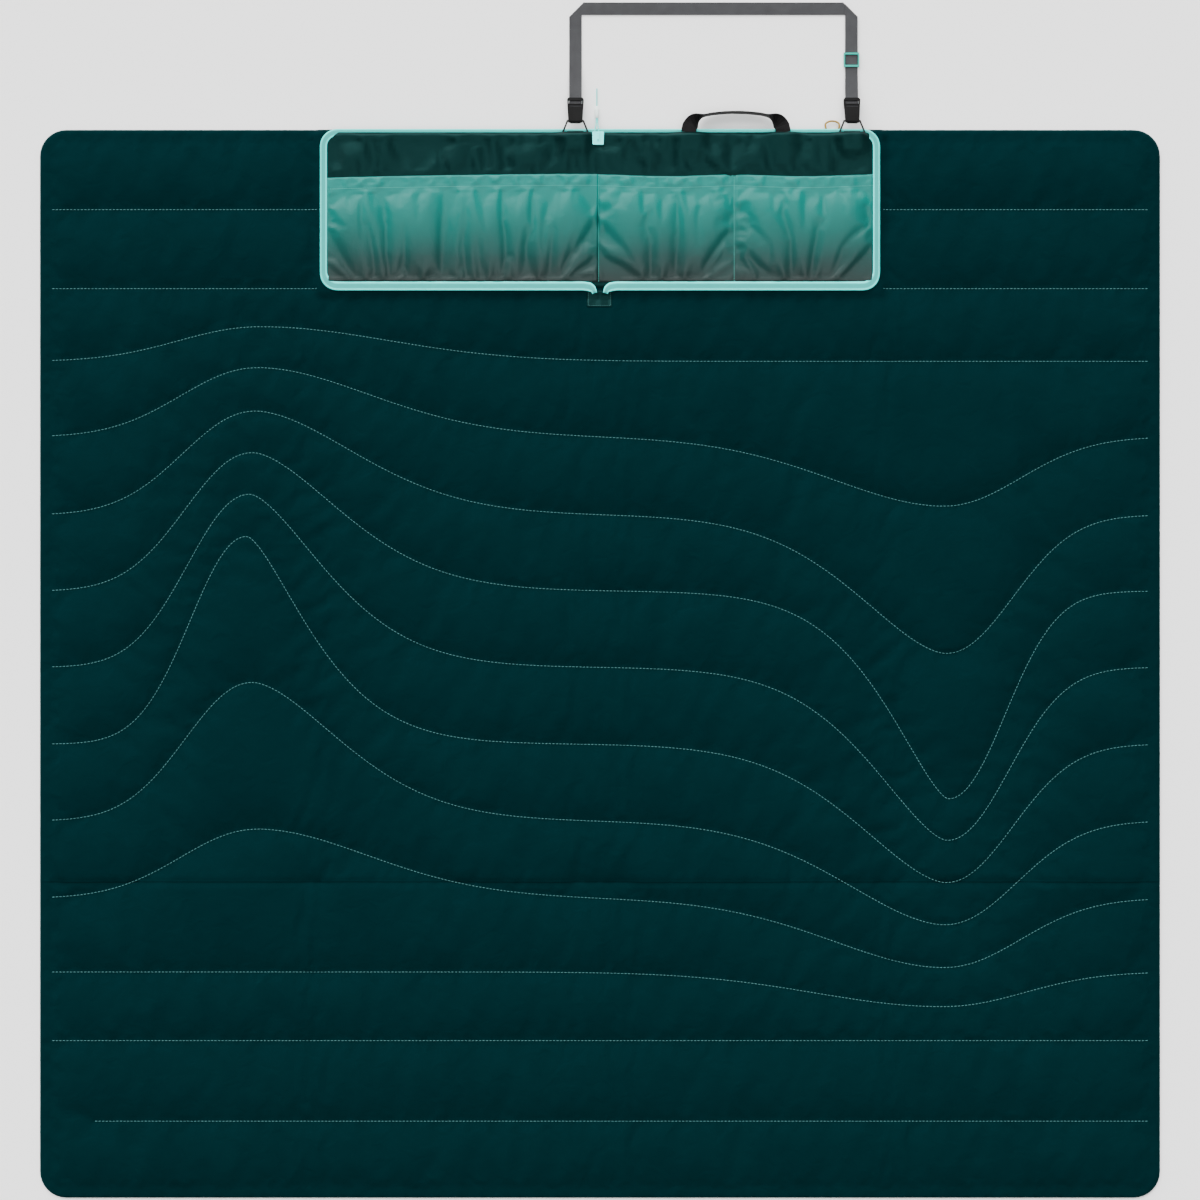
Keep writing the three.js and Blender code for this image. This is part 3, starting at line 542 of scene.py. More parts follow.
def quilt_piece(name, side):
    """One part of the sheet, closed: face, ground cloth, and a wall where it meets the next."""
    middle = x[patches].mean(1)
    mine = patches[np.digitize(middle, CUTS) == side]
    used = np.unique(mine)
    below = {int(v): len(used) + n for n, v in enumerate(used[~rim[used]])}
    above = {int(v): n for n, v in enumerate(used)}
    under = {v: below.get(v, above[v]) for v in above}
    faces = [[above[int(v)] for v in f] for f in mine]
    faces += [[under[int(v)] for v in reversed(f)] for f in mine]
    sides = {}
    for f in mine:
        for a, b in zip(f, (f[1], f[2], f[0])):
            sides[(int(a), int(b))] = sides.get((int(a), int(b)), 0) + 1
    for a, b in sides:
        if (b, a) not in sides and not (rim[a] and rim[b]):
            wall = [above[b], above[a], under[a], under[b]]
            faces.append([v for n, v in enumerate(wall) if v not in wall[:n]])
    lower = used[~rim[used]]
    mesh = bpy.data.meshes.new(name)
    mesh.from_pydata(np.concatenate([face_cloth[used], ground_cloth[lower]]).tolist(), [], faces)
    flat_cut = np.concatenate([flat[used], flat[lower]])
    corners = np.zeros(len(mesh.loops), np.int32)
    mesh.loops.foreach_get("vertex_index", corners)
    mesh.uv_layers.new(name="cut").data.foreach_set("uv", flat_cut[corners].astype(np.float32).ravel())
    which = np.zeros(len(faces), np.int32)
    which[len(mine):2 * len(mine)] = 1
    mesh.polygons.foreach_set("material_index", which)
    mesh.polygons.foreach_set("use_smooth", np.ones(len(faces), bool))
    normals = np.concatenate([face_normals[used], ground_normals[lower]])
    normals /= np.linalg.norm(normals, axis=1)[:, None]
    mesh.normals_split_custom_set_from_vertices(normals.tolist())
    return put_in_scene(name, mesh, quilt_finish, ground_finish)


FOLDS = [("left", ("left_wing", "left_half"), (-WING_FOLD[1], 0, 0), (-WING_FOLD[0], 0, 0)),
         ("middle", ("left_half", "right_half"), (-CENTRE_FOLD, 0, 0), (CENTRE_FOLD, 0, 0)),
         ("right", ("right_half", "right_wing"), (WING_FOLD[0], 0, 0), (WING_FOLD[1], 0, 0))]
REPLACED = [("left_wing",), ("left_half", "right_half"), ("right_wing",)]
for side, (place, bodies, fold_start, fold_end) in enumerate(FOLDS):
    piece = quilt_piece(f"quilt_{place}", side)
    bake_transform(piece)
    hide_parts(*[f"{column}_{layer}" for column in REPLACED[side]
                         for layer in ("ground_cloth", "wadding", "top_cloth", "lower_top_cloth")])

# Quilting thread: pale grey-green polyester in running stitches that sit down in each row.
STITCH, STITCH_GAP, THREAD_THICK = 0.0050, 0.0006, 0.0013
thread_finish = new_finish("quilting_thread", (0.035, 0.125, 0.125), 0.7)
twist = add_node(thread_finish, "ShaderNodeTexWave",
                 {"Vector": own_coords(thread_finish), "Scale": BANDS / 0.0006},
                 bands_direction="DIAGONAL")
feed(thread_finish, "Normal", bump_of(thread_finish, twist.outputs["Fac"], 0.0001))


def sew(bm, line, length, gap, thickness, lift=0.0, within=(-1, 1)):
    """Adds running stitches to a mesh along a line of points that lie on the cloth. Those
    whose middle is beyond the limits in X are left to the next piece."""
    line = [Vector(p) for p in line]
    gone = gone_along(line)
    xyz = np.array(line).T
    count = int(gone[-1] / (length + gap))
    for n in range(count):
        ends = [(n + 0.5) * gone[-1] / count + s * length / 2 for s in (-1, 1)]
        a, b = (Vector([np.interp(e, gone, c) for c in xyz]) for e in ends)
        if not within[0] <= (a.x + b.x) / 2 < within[1]:
            continue
        turn = (b - a).to_track_quat("X", "Z").to_matrix().to_4x4()
        size = Matrix.Diagonal((length / 2, thickness / 2, thickness * 0.4, 1))
        place = Matrix.Translation((a + b) / 2 + Vector((0, 0, lift)))
        bmesh.ops.create_icosphere(bm, subdivisions=1, radius=1.05, matrix=place @ turn @ size)


def smooth_piece(bm, name, finish):
    """Turns a bmesh into a piece whose faces are shaded smooth."""
    for face in bm.faces:
        face.smooth = True
    mesh = bpy.data.meshes.new(name)
    bm.to_mesh(mesh)
    bm.free()
    return put_in_scene(name, mesh, finish)


row_lines = []
for row, start, end in ROW_SPANS:
    line = walk(lambda a, row=row: row_at(row, a), start + 0.001, end - 0.001, 0.004)
    row_lines.append([(a, b, float(stitched_height(a, b))) for a, b in line])
for side, (place, bodies, fold_start, fold_end) in enumerate(FOLDS):
    bm = bmesh.new()
    for line in row_lines:
        sew(bm, line, STITCH, STITCH_GAP, THREAD_THICK, lift=0.0003,
            within=(-1, *CUTS, 1)[side:side + 2])
    piece = smooth_piece(bm, f"quilting_thread_{place}", thread_finish)
    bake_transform(piece)


# Panel backing: one piece of dark green nylon that carries the pockets. It lies on the quilt,
# its top edge covers the ring keepers' tails and the handle's ends, and its slack wrinkles.
def shaped_grid(name, across, along, place, cut, finish):
    """A grid of cloth put in place point by point, which remembers how it was cut."""
    bm = bmesh.new()
    bmesh.ops.create_grid(bm, x_segments=across, y_segments=along, size=0.5)
    layer = bm.loops.layers.uv.new("cut")
    spots = {v: (v.co.x + 0.5, v.co.y + 0.5) for v in bm.verts}
    for face in bm.faces:
        for loop in face.loops:
            loop[layer].uv = cut(*spots[loop.vert])
    for v, spot in spots.items():
        v.co = place(*spot)
    return smooth_piece(bm, name, finish)


def grid_faces(across, along):
    """The faces of a sheet of points laid out row by row."""
    return [(j * (across + 1) + i, j * (across + 1) + i + 1,
             (j + 1) * (across + 1) + i + 1, (j + 1) * (across + 1) + i)
            for j in range(along) for i in range(across)]


def slack_sheet(xs, ys, held, fullness, pressure, ripple=0.0):
    """Heights of a sheet cut fuller than its place, by row and column. Where it is held it
    keeps its ripple."""
    gx, gy = np.meshgrid(xs, ys)
    dents = np.array([noise.noise(Vector((a * 45, b * 16, 8))) for a, b in zip(gx.ravel(), gy.ravel())])
    lift = np.where(held.ravel(), (ripple * held).ravel(), 0.0012 * dents + 0.0006)
    places = np.column_stack([gx.ravel(), gy.ravel(), lift])
    faces = grid_faces(len(xs) - 1, len(ys) - 1)
    settled = fill_cloth(places, faces, held.ravel(), fullness, pressure, frames=30)
    return settled[:, 2].reshape(gx.shape)


def thicken(piece, thickness, offset=-1):
    wall = piece.modifiers.new("cloth_thickness", "SOLIDIFY")
    wall.thickness = thickness
    wall.offset = offset


BACKING_HALF, BACKING_FOOT, BACKING_TOP = 0.4395, 0.4955, 0.7415
BACKING_CORNER = 0.022
BACKING_HEIGHT, BACKING_REST = 0.0128, 0.0133
SLACK_FOOT, SLACK_SIDE, SLACK_CROWN = 0.677, 0.431, 0.0075
FLAP_FOOT, FLAP_RISE, FLAP_REACH = 0.694, 0.027, 0.022
TOP_EDGE_FOOT, TOP_EDGE_SIDE, TOP_EDGE_LIFT = 0.724, 0.424, 0.0021
EDGE_EASE = 0.012
BACKING_X = np.linspace(-BACKING_HALF, BACKING_HALF, 141)
BACKING_Y = np.linspace(BACKING_FOOT, BACKING_TOP, 43)
keeper_boxes = [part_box(f"{side}_ring_keeper") for side in ("left", "right")]
end_boxes = [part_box(f"{side}_handle_end") for side in ("left", "right")]
held = np.ones((len(BACKING_Y), len(BACKING_X)), bool)
held[BACKING_Y > SLACK_FOOT, 2:-2] = False
held[-1] = True
slack = slack_sheet(BACKING_X, BACKING_Y, held, 0.05, 3)
slack = SLACK_CROWN * np.tanh(np.maximum(slack, 0) / SLACK_CROWN)


def flap_lift(a, b):
    """The backing's top edge rises over the keepers and the handle's ends."""
    lift = 0
    for low, high in keeper_boxes + end_boxes:
        reach = max(low.x - a, a - high.x, 0)
        over = high.z + 0.0007 - BACKING_REST
        lift = max(lift, over * float(ease(1 - reach / FLAP_REACH)))
    return lift * float(ease((b - FLAP_FOOT) / FLAP_RISE))


def backing_place(u, w):
    """Where a point of the backing lies: wrinkled above the pockets, flat at its sewn edges."""
    i, j = round(u * (len(BACKING_X) - 1)), round(w * (len(BACKING_Y) - 1))
    a, b = float(BACKING_X[i]), float(BACKING_Y[j])
    over = flap_lift(a, b)
    off_side = ease((TOP_EDGE_SIDE - abs(a)) / EDGE_EASE)
    height = BACKING_HEIGHT + TOP_EDGE_LIFT * float(ease((b - TOP_EDGE_FOOT) / 0.01) * off_side) + over
    pressed = 1 - 0.5 * float(ease(over / 0.004))
    height += float(slack[j, i]) * float(ease((SLACK_SIDE - abs(a)) / EDGE_EASE)) * pressed
    middle = (BACKING_FOOT + BACKING_TOP) / 2
    ox = abs(a) - (BACKING_HALF - BACKING_CORNER)
    oy = abs(b - middle) - ((BACKING_TOP - BACKING_FOOT) / 2 - BACKING_CORNER)
    if ox > 0 and oy > 0:
        inward = 1 - max(ox, oy) / math.hypot(ox, oy)
        a -= math.copysign(ox * inward, a)
        b -= math.copysign(oy * inward, b - middle)
    return Vector((a, b, height))


backing_finish = new_finish("dark_green_nylon", (0.0002, 0.006, 0.006), 0.34,
                            {"Specular IOR Level": 0.16, "Specular Tint": (0.25, 0.9, 0.85, 1)})
backing_coords = weave(backing_finish, 0.0005, 0.00005, crease=0.0012, crease_size=0.03)
mottle(backing_finish, backing_coords, 0.05, (0.0001, 0.0042, 0.0044), (0.0002, 0.0068, 0.0068))
backing = shaped_grid("panel_backing_cloth", len(BACKING_X) - 1, len(BACKING_Y) - 1, backing_place,
                      lambda u, w: (u * 2 * BACKING_HALF, w * (BACKING_TOP - BACKING_FOOT)),
                      backing_finish)
thicken(backing, 0.0004)
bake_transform(backing)
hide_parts("left_panel_backing", "right_panel_backing")

# Pocket fronts: glossy nylon, faded from teal at the mouth to grey at the foot, cut wider than
# the panel and drawn in by elastic in the mouth's hem. The right one is divided in two.
POCKET_FOOT, HEM_LINE, HEM_TOP = 0.5042, 0.657, 0.675
HEM_ROW, POCKET_GRAIN = 40, 0.0036
POCKET_FULLNESS, POCKET_PRESSURE, PLEAT_CROWN = 0.062, 4, 0.010
POCKET_BED, POCKET_MOUTH_LIFT = 0.0137, 0.0036
BESIDE_TAPE, ABOVE_TAPE = 0.4335, 0.5048
SEAM_STITCH = (0.0026, 0.0011, 0.0009)
BAYS = {"left": [-0.4365, -0.003], "right": [-0.003, 0.212, 0.4335]}
HEM_BACK = [(0.0006, -0.0012), (-0.0030, -0.0030), (-0.0090, -0.0033), (-0.0160, -0.0026)]
pocket_finish = new_finish("faded_pocket_nylon", (0.0, 0.15, 0.125), 0.36,
                           {"Specular IOR Level": 0.17})
pocket_coords = weave(pocket_finish, 0.0005, 0.00004, crease=0.0008, crease_size=0.02)
pocket_up = add_node(pocket_finish, "ShaderNodeSeparateXYZ", {0: pocket_coords}).outputs["Y"]
smudge = add_node(pocket_finish, "ShaderNodeTexNoise",
                  {"Vector": pocket_coords, "Scale": 14, "Detail": 5})
shifted = add_node(pocket_finish, "ShaderNodeMath", {0: smudge.outputs["Fac"], 1: 0.03, 2: pocket_up},
                   operation="MULTIPLY_ADD")
height_share = add_node(pocket_finish, "ShaderNodeMapRange",
                        {"Value": shifted.outputs[0], "From Min": POCKET_FOOT + 0.015,
                         "From Max": HEM_TOP + 0.015})
fade = add_node(pocket_finish, "ShaderNodeValToRGB", {0: height_share.outputs[0]})
fade.color_ramp.elements[0].color = (0.010, 0.018, 0.017, 1)
fade.color_ramp.elements[1].color = (0.0, 0.145, 0.125, 1)
for stop, colour in ((0.22, (0.004, 0.036, 0.032, 1)), (0.5, (0.0, 0.085, 0.072, 1)),
                     (0.8, (0.0, 0.128, 0.108, 1))):
    fade.color_ramp.elements.new(stop).color = colour
feed(pocket_finish, "Base Color", fade.outputs[0])
elastic_finish = new_finish("ribbed_elastic", (0.02, 0.022, 0.022), 0.8)
weave(elastic_finish, 0.0011, 0.0003)
seam_finish = new_finish("teal_seam_thread", (0.04, 0.36, 0.31), 0.65)
grained(seam_finish, 2500, 0.0001)


def from_bay_side(bays, a):
    return min(abs(a - side) for side in bays)


def pocket_base(bays, a, b):
    """The pocket's height where it is empty: sewn down at its foot and sides, open at its mouth."""
    open_up = float(ease((b - POCKET_FOOT) / 0.13)) * float(ease(from_bay_side(bays, a) / 0.05))
    return POCKET_BED + POCKET_MOUTH_LIFT * open_up


def mouth_drop(bays, a):
    """How far the mouth's line hangs below level."""
    bay = next((pair for pair in zip(bays, bays[1:]) if pair[0] <= a <= pair[1]), bays[-2:])
    share = (a - bay[0]) / (bay[1] - bay[0])
    return 0.006 * (1 - share) ** 1.6 if len(bays) == 2 else 0.0038 * math.sin(math.pi * share)


for side, bays in BAYS.items():
    across = round((bays[-1] - bays[0]) / POCKET_GRAIN)
    xs = np.linspace(bays[0], bays[-1], across + 1)
    for division in bays[1:-1]:
        xs[np.abs(xs - division).argmin()] = division
    ys = np.concatenate([np.linspace(POCKET_FOOT, HEM_LINE, HEM_ROW + 1),
                         np.linspace(HEM_LINE, HEM_TOP, 6)[1:]])
    held = np.zeros((len(ys), len(xs)), bool)
    held[[0, HEM_ROW, -1]] = True
    held[:, [int(np.abs(xs - division).argmin()) for division in bays]] = True
    calm = np.array([float(ease(from_bay_side(bays, a) / 0.012)) for a in xs])
    broad, fine = ([noise.noise(Vector((a * rate, level, seed))) for a in xs]
                   for rate, level, seed in ((60, 0.3, 2), (170, 0.7, 5)))
    gather = (np.array(broad) + 0.5 * np.array(fine)) * calm
    ripple = np.zeros(held.shape)
    ripple[HEM_ROW] = 0.0016 * gather
    ripple[-1] = 0.0022 * np.roll(gather, 2) * calm + 0.0006
    puffed = slack_sheet(xs, ys, held, POCKET_FULLNESS, POCKET_PRESSURE, ripple)
    puffed = PLEAT_CROWN * np.tanh(np.maximum(puffed, -0.0003) / PLEAT_CROWN)
    bm = bmesh.new()
    layer = bm.loops.layers.uv.new("cut")
    bmesh.ops.create_grid(bm, x_segments=len(xs) - 1, y_segments=len(ys) - 1, size=0.5)
    spots = {v: (round((v.co.x + 0.5) * (len(xs) - 1)), round((v.co.y + 0.5) * (len(ys) - 1)))
             for v in bm.verts}
    for v, (i, j) in spots.items():
        hang = mouth_drop(bays, xs[i]) * float(ease((ys[j] - 0.57) / 0.085))
        clear = float(ease((BESIDE_TAPE - abs(xs[i])) / 0.006))
        clear *= float(ease((ys[j] - ABOVE_TAPE) / 0.005))
        v.co = Vector((xs[i], ys[j] - hang, pocket_base(bays, xs[i], ys[j]) + puffed[j, i] * clear))
    for face in bm.faces:
        for loop in face.loops:
            loop[layer].uv = (xs[spots[loop.vert][0]], ys[spots[loop.vert][1]])
    stitched = sorted((v for v, (i, j) in spots.items() if j == HEM_ROW), key=lambda v: v.co.x)
    stitch_line = [v.co.copy() for v in stitched]
    mouth = sorted((v for v, (i, j) in spots.items() if j == len(ys) - 1), key=lambda v: v.co.x)
    top_line = [v.co.copy() for v in mouth]
    edge = [e for e in bm.edges if e.verts[0] in mouth and e.verts[1] in mouth]
    for up, out in HEM_BACK:
        made = bmesh.ops.extrude_edge_only(bm, edges=edge)["geom"]
        fresh = sorted((g for g in made if isinstance(g, bmesh.types.BMVert)), key=lambda v: v.co.x)
        for n, v in enumerate(fresh):
            ground = top_line[n].z if up > 0 else pocket_base(bays, xs[n], HEM_LINE)
            v.co = Vector((xs[n], top_line[n].y + up, ground + out))
        edge = [e for e in bm.edges if e.verts[0] in fresh and e.verts[1] in fresh]
    bmesh.ops.recalc_face_normals(bm, faces=bm.faces)
    bm.faces.ensure_lookup_table()
    lowest = min(bm.faces, key=lambda f: f.calc_center_median().y)
    if lowest.normal.z < 0:
        bmesh.ops.reverse_faces(bm, faces=bm.faces)
    front = smooth_piece(bm, f"pocket_front_{side}", pocket_finish)
    thicken(front, 0.0003)
    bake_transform(front)
    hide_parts(f"{side}_pocket_front", f"{side}_pocket_hem")

    def elastic_place(u, w, xs=xs, bays=bays, line=stitch_line):
        a = xs[0] + 0.002 + u * (xs[-1] - xs[0] - 0.004)
        below = np.interp(a, xs, [p.y for p in line])
        return Vector((a, below + 0.0035 + 0.011 * w, pocket_base(bays, a, HEM_LINE) - 0.0017))

    elastic = shaped_grid(f"hem_elastic_{side}", 90, 2, elastic_place,
                          lambda u, w: (u * 0.43, w * 0.011), elastic_finish)
    thicken(elastic, 0.0008, 0)
    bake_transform(elastic)
    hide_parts(f"{side}_hem_elastic")

    bm = bmesh.new()
    sew(bm, [p + Vector((0, 0.0004, 0.0002)) for p in stitch_line], *SEAM_STITCH)
    for division in bays[1:-1] if side == "left" else bays[:-1]:
        line = [(division + 0.0008, b, pocket_base(bays, division, b) + 0.0003) for b in ys]
        sew(bm, line, *SEAM_STITCH)
    thread = smooth_piece(bm, f"pocket_thread_{side}", seam_finish)
    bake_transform(thread)

# Zip: a mint woven tape sewn round the panel, 11 mm wide at the sides and 14 mm at the foot,
# with a nylon coil along its outer edge. Its two ends turn down at the middle of the foot.
TAPE_HALF_SIDE, TAPE_HALF_FOOT, TAPE_CORNER, TAPE_STEP = 0.0055, 0.007, 0.022, 0.004
TAPE_HEIGHT, TAPE_CROWN, COIL_HEIGHT, COIL_PITCH = 0.0136, 0.0004, 0.0146, 0.0015
TOOTH_HALF = (0.0006, 0.0013, 0.0009)
TAPE_END = [(0.0085, 0.4865), (0.0105, 0.4925), (0.0165, 0.4965), (0.026, PANEL_FOOT + TAPE_HALF_FOOT)]
tape_finish = new_finish("mint_zip_tape", MINT, 0.6, {"Sheen Weight": 0.05, "Specular IOR Level": 0.2})
tape_coords = add_node(tape_finish, "ShaderNodeUVMap", uv_map="cut").outputs[0]
twill = add_node(tape_finish, "ShaderNodeTexWave", {"Vector": tape_coords, "Scale": BANDS / 0.0007},
                 bands_direction="DIAGONAL")
tape_across = add_node(tape_finish, "ShaderNodeSeparateXYZ", {0: tape_coords}).outputs["Y"]
tape_edge = add_node(tape_finish, "ShaderNodeMath", {0: tape_across}, operation="ABSOLUTE")
tape_lines = add_node(tape_finish, "ShaderNodeMapRange",
                      {"Value": tape_edge.outputs[0], "From Min": 0.0022, "From Max": 0.0040})
feed(tape_finish, "Base Color",
     mixed_tone(tape_finish, tape_lines.outputs[0], (0.015, 0.33, 0.30), MINT))
feed(tape_finish, "Normal", bump_of(tape_finish, twill.outputs["Fac"], 0.0001))


def tape_middle():
    """The tape's middle line, from its right end round the panel to its left end."""
    half, top, turn = PANEL_HALF - TAPE_HALF_SIDE, TOP - TAPE_HALF_SIDE, TAPE_CORNER
    foot = PANEL_FOOT + TAPE_HALF_FOOT
    line = [Vector(place) for place in TAPE_END]
    line += [Vector((a, foot)) for a in np.arange(0.034, half - turn, TAPE_STEP)]
    line += [Vector((half - turn + turn * math.sin(q), foot + turn - turn * math.cos(q)))
             for q in np.linspace(0, math.pi / 2, 10)]
    line += [Vector((half, b)) for b in np.arange(foot + turn + TAPE_STEP, top - turn, TAPE_STEP)]
    line += [Vector((half - turn + turn * math.cos(q), top - turn + turn * math.sin(q)))
             for q in np.linspace(0, math.pi / 2, 10)]
    line += [Vector((a, top)) for a in np.arange(half - turn - TAPE_STEP, 0, -TAPE_STEP)]
    return line + [Vector((-p.x, p.y)) for p in reversed(line)]


tape_line = tape_middle()
tape_gone = gone_along(tape_line)
tape_xy = np.array([tuple(p) for p in tape_line])


def tape_at(gone, offset):
    """A point beside the tape's middle line; a positive offset is towards its outer edge."""
    a = np.array([np.interp(gone, tape_gone, c) for c in tape_xy.T])
    ahead = np.array([np.interp(min(gone + 0.001, tape_gone[-1]), tape_gone, c) for c in tape_xy.T])
    behind = np.array([np.interp(max(gone - 0.001, 0), tape_gone, c) for c in tape_xy.T])
    way = (ahead - behind) / np.linalg.norm(ahead - behind)
    return a + offset * np.array([way[1], -way[0]]), way


def tape_half_width(gone, place):
    """Half the tape's width: wider along the foot, narrowed at its two ends."""
    foot_share = float(ease((0.52 - place[1]) / 0.02))
    end = min(gone, tape_gone[-1] - gone)
    return (TAPE_HALF_SIDE + 0.0015 * foot_share) * (0.55 + 0.45 * float(ease(end / 0.014)))


def tape_place(u, w):
    gone = u * tape_gone[-1]
    middle, _ = tape_at(gone, 0)
    half = tape_half_width(gone, middle)
    (a, b), _ = tape_at(gone, (2 * w - 1) * half)
    ripple = 0.00025 * noise.noise(Vector((a * 70, b * 70, 1)))
    return Vector((a, b, TAPE_HEIGHT + TAPE_CROWN * (1 - (2 * w - 1) ** 2) + ripple))


tape = shaped_grid("zip_tape_band", 640, 6, tape_place,
                   lambda u, w: (u * tape_gone[-1], (2 * w - 1) * TAPE_HALF_SIDE), tape_finish)
thicken(tape, 0.0006)
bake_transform(tape)
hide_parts("left_zip_tape", "right_zip_tape")

coil_finish = new_finish("mint_coil_nylon", (0.10, 0.74, 0.68), 0.35, {"Specular IOR Level": 0.2})
coil_grain = add_node(coil_finish, "ShaderNodeTexNoise",
                      {"Vector": own_coords(coil_finish), "Scale": 700})
coil_rough = add_node(coil_finish, "ShaderNodeMapRange",
                      {"Value": coil_grain.outputs["Fac"], "To Min": 0.25, "To Max": 0.4})
feed(coil_finish, "Roughness", coil_rough.outputs[0])
bm = bmesh.new()
for gone in np.arange(0.008, tape_gone[-1] - 0.008, COIL_PITCH):
    half = tape_half_width(gone, tape_at(gone, 0)[0])
    (a, b), way = tape_at(gone, half - 0.0012)
    turn = Matrix.Rotation(math.atan2(way[1], way[0]), 4, "Z")
    size = Matrix.Diagonal((*TOOTH_HALF, 1))
    place = Matrix.Translation((a, b, COIL_HEIGHT))
    bmesh.ops.create_icosphere(bm, subdivisions=1, radius=1, matrix=place @ turn @ size)
coil = smooth_piece(bm, "zip_coil_teeth", coil_finish)
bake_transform(coil)
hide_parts("left_zip_coil", "right_zip_coil")

# End patch: a stitched rectangle of panel cloth that covers the tape's ends on the quilt.
quilt_top = BVHTree.FromPolygons(face_cloth.tolist(), patches.tolist())


def on_quilt(a, b):
    """The height of the quilt's face at a place."""
    hit = quilt_top.ray_cast(Vector((a, b, 0.1)), Vector((0, 0, -1)))[0]
    return hit.z if hit else SEAM_HEIGHT


PATCH_X, PATCH_Y = (-0.0208, 0.0188), (0.4652, 0.4905)


def patch_place(u, w):
    a = PATCH_X[0] + u * (PATCH_X[1] - PATCH_X[0])
    b = PATCH_Y[0] + w * (PATCH_Y[1] - PATCH_Y[0])
    return Vector((a, b, on_quilt(a, b) + 0.0008))


patch = shaped_grid("zip_end_patch", 20, 14, patch_place,
                    lambda u, w: (u * (PATCH_X[1] - PATCH_X[0]), w * (PATCH_Y[1] - PATCH_Y[0])),
                    backing_finish)
thicken(patch, 0.0005)
bm = bmesh.new()
for corner, following in (((0.06, 0.08), (0.94, 0.08)), ((0.94, 0.08), (0.94, 0.92)),
                          ((0.06, 0.92), (0.06, 0.08))):
    line = [patch_place(*(np.array(corner) + (np.array(following) - corner) * t))
            for t in np.linspace(0, 1, 12)]
    sew(bm, line, 0.0024, 0.001, 0.0007, lift=0.0002)
patch_thread = smooth_piece(bm, "patch_thread", thread_finish)
for piece in (patch, patch_thread):
    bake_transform(piece)
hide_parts("left_end_patch", "right_end_patch")


# Hardware and webbing: the moulded slider, hooks and adjuster, the bent wire rings with their
# cloth keepers, and the nylon webbing; all but the rings have their hard edges broken, the rings are
# shaded smooth.
def eased_copy(node, name, body, finish, edge, segments=2, smooth_from=30):
    """A piece with the node's shape and rounded edges, which stands for it."""
    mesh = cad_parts[node].data.copy()
    mesh.name = name
    mesh.materials.clear()
    bm = bmesh.new()
    bm.from_mesh(mesh)
    bmesh.ops.remove_doubles(bm, verts=bm.verts, dist=1e-6)
    bmesh.ops.dissolve_limit(bm, angle_limit=math.radians(3), verts=bm.verts, edges=bm.edges)
    for face in bm.faces:
        face.smooth = True
    bm.to_mesh(mesh)
    bm.free()
    if "custom_normal" in mesh.attributes:
        mesh.attributes.remove(mesh.attributes["custom_normal"])
    piece = put_in_scene(name, mesh, finish)
    if edge:
        rounding = piece.modifiers.new("broken_edges", "BEVEL")
        rounding.width = edge
        rounding.segments = segments
        rounding.limit_method = "ANGLE"
        rounding.angle_limit = math.radians(smooth_from)
        rounding.harden_normals = True
    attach(piece, body)
    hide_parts(node)
    return piece


def moulded(finish, grain, depth):
    """Adds a moulding's fine grain and its uneven gloss."""
    coords = own_coords(finish)
    pits = add_node(finish, "ShaderNodeTexNoise", {"Vector": coords, "Scale": 1 / grain, "Detail": 3})
    cloud = add_node(finish, "ShaderNodeTexNoise", {"Vector": coords, "Scale": 60, "Detail": 2})
    gloss = finish.node_tree.nodes["Principled BSDF"].inputs["Roughness"].default_value
    rough = add_node(finish, "ShaderNodeMapRange",
                     {"Value": cloud.outputs["Fac"], "To Min": gloss - 0.08, "To Max": gloss + 0.1})
    feed(finish, "Roughness", rough.outputs[0])
    feed(finish, "Normal", bump_of(finish, pits.outputs["Fac"], depth))


slider_finish = new_finish("mint_enamel", (0.10, 0.95, 0.92), 0.35, {"Specular IOR Level": 0.3})
moulded(slider_finish, 0.0008, 0.00003)
eased_copy("zip_slider", "zip_slider_body", "slider", slider_finish, 0.0006, 3)

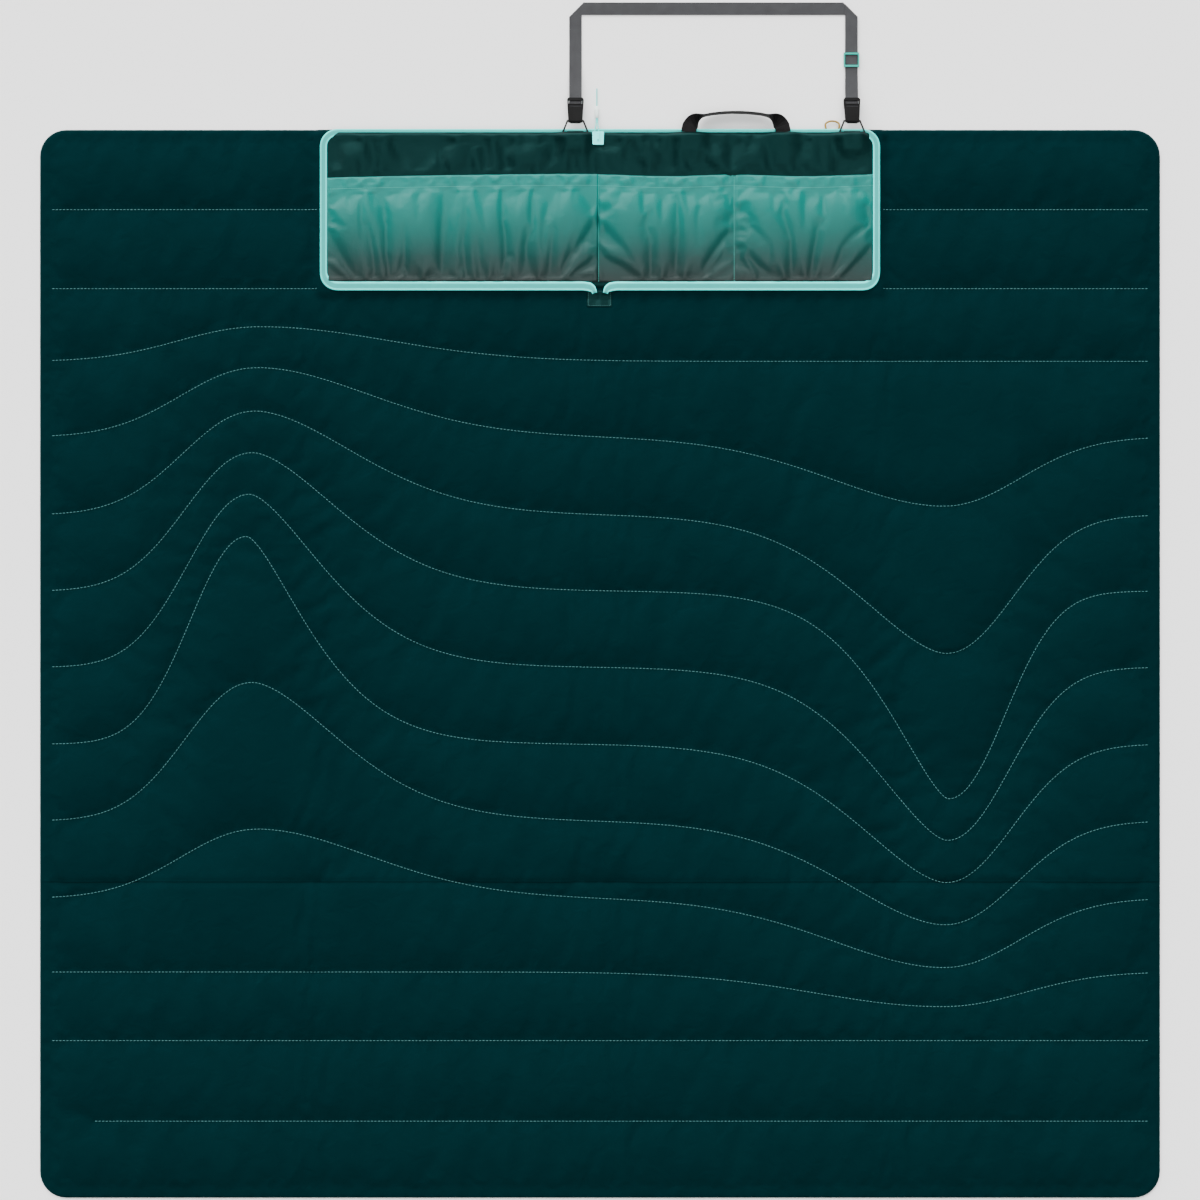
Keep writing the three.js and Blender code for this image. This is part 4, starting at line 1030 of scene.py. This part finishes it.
wire_finish = new_finish("black_wire_coat", (0.003, 0.0025, 0.0025), 0.35,
                         {"Specular IOR Level": 0.15})
moulded(wire_finish, 0.0006, 0.00004)
keeper_finish = new_finish("keeper_cloth", (0.001, 0.012, 0.012), 0.5, {"Specular IOR Level": 0.15})
weave(keeper_finish, 0.0007, 0.0001, on_cut=False)
hook_finish = new_finish("black_hook_nylon", (0.003, 0.003, 0.003), 0.45, {"Specular IOR Level": 0.07})
moulded(hook_finish, 0.0005, 0.00005)
for side in ("left", "right"):
    eased_copy(f"{side}_ring", f"{side}_ring_wire", f"{side}_ring", wire_finish, 0)
    eased_copy(f"{side}_ring_keeper", f"{side}_keeper_tab", f"{side}_half",
               keeper_finish, 0.0004)
    eased_copy(f"{side}_hook", f"{side}_hook_moulding", "strap", hook_finish, 0.0007, 3)
adjuster_finish = new_finish("mint_green_acetal", (0.0, 0.30, 0.24), 0.3, {"Specular IOR Level": 0.2})
moulded(adjuster_finish, 0.0006, 0.00004)
eased_copy("strap_adjuster", "adjuster_moulding", "adjuster", adjuster_finish,
           0.0005, 3)


def webbing_weave(finish, rib, depth, colour, dark):
    """Adds two sets of slanting ribs to webbing, and its wear."""
    coords = own_coords(finish)
    ribs = slanted_ribs(finish, coords, rib, (0, 0, 0.6), (0, 0, -0.6))
    crossed = add_node(finish, "ShaderNodeMath", {0: ribs[0], 1: ribs[1]}, operation="MULTIPLY")
    wear = add_node(finish, "ShaderNodeTexNoise", {"Vector": coords, "Scale": 55, "Detail": 4})
    mixed = add_node(finish, "ShaderNodeMath", {0: crossed.outputs[0], 1: 0.6, 2: wear.outputs["Fac"]},
                     operation="MULTIPLY_ADD")
    feed(finish, "Base Color", mixed_tone(finish, mixed.outputs[0], dark, colour))
    feed(finish, "Normal", bump_of(finish, crossed.outputs[0], depth))


strap_finish = new_finish("grey_strap_webbing", (0.03, 0.031, 0.033), 0.6,
                          {"Sheen Weight": 0.05, "Specular IOR Level": 0.2})
webbing_weave(strap_finish, 0.0012, 0.0003, (0.042, 0.043, 0.046), (0.018, 0.018, 0.020))
eased_copy("strap_webbing", "shoulder_strap", "strap", strap_finish, 0.0004)
handle_finish = new_finish("black_handle_webbing", (0.004, 0.004, 0.004), 0.65,
                           {"Specular IOR Level": 0.12})
webbing_weave(handle_finish, 0.0012, 0.0003, (0.006, 0.0055, 0.006), (0.002, 0.002, 0.002))
eased_copy("carry_handle", "carry_handle_webbing", "handle", handle_finish, 0.0004)
for side in ("left", "right"):
    eased_copy(f"{side}_handle_end", f"{side}_handle_tail", "right_half",
               handle_finish, 0.0004)
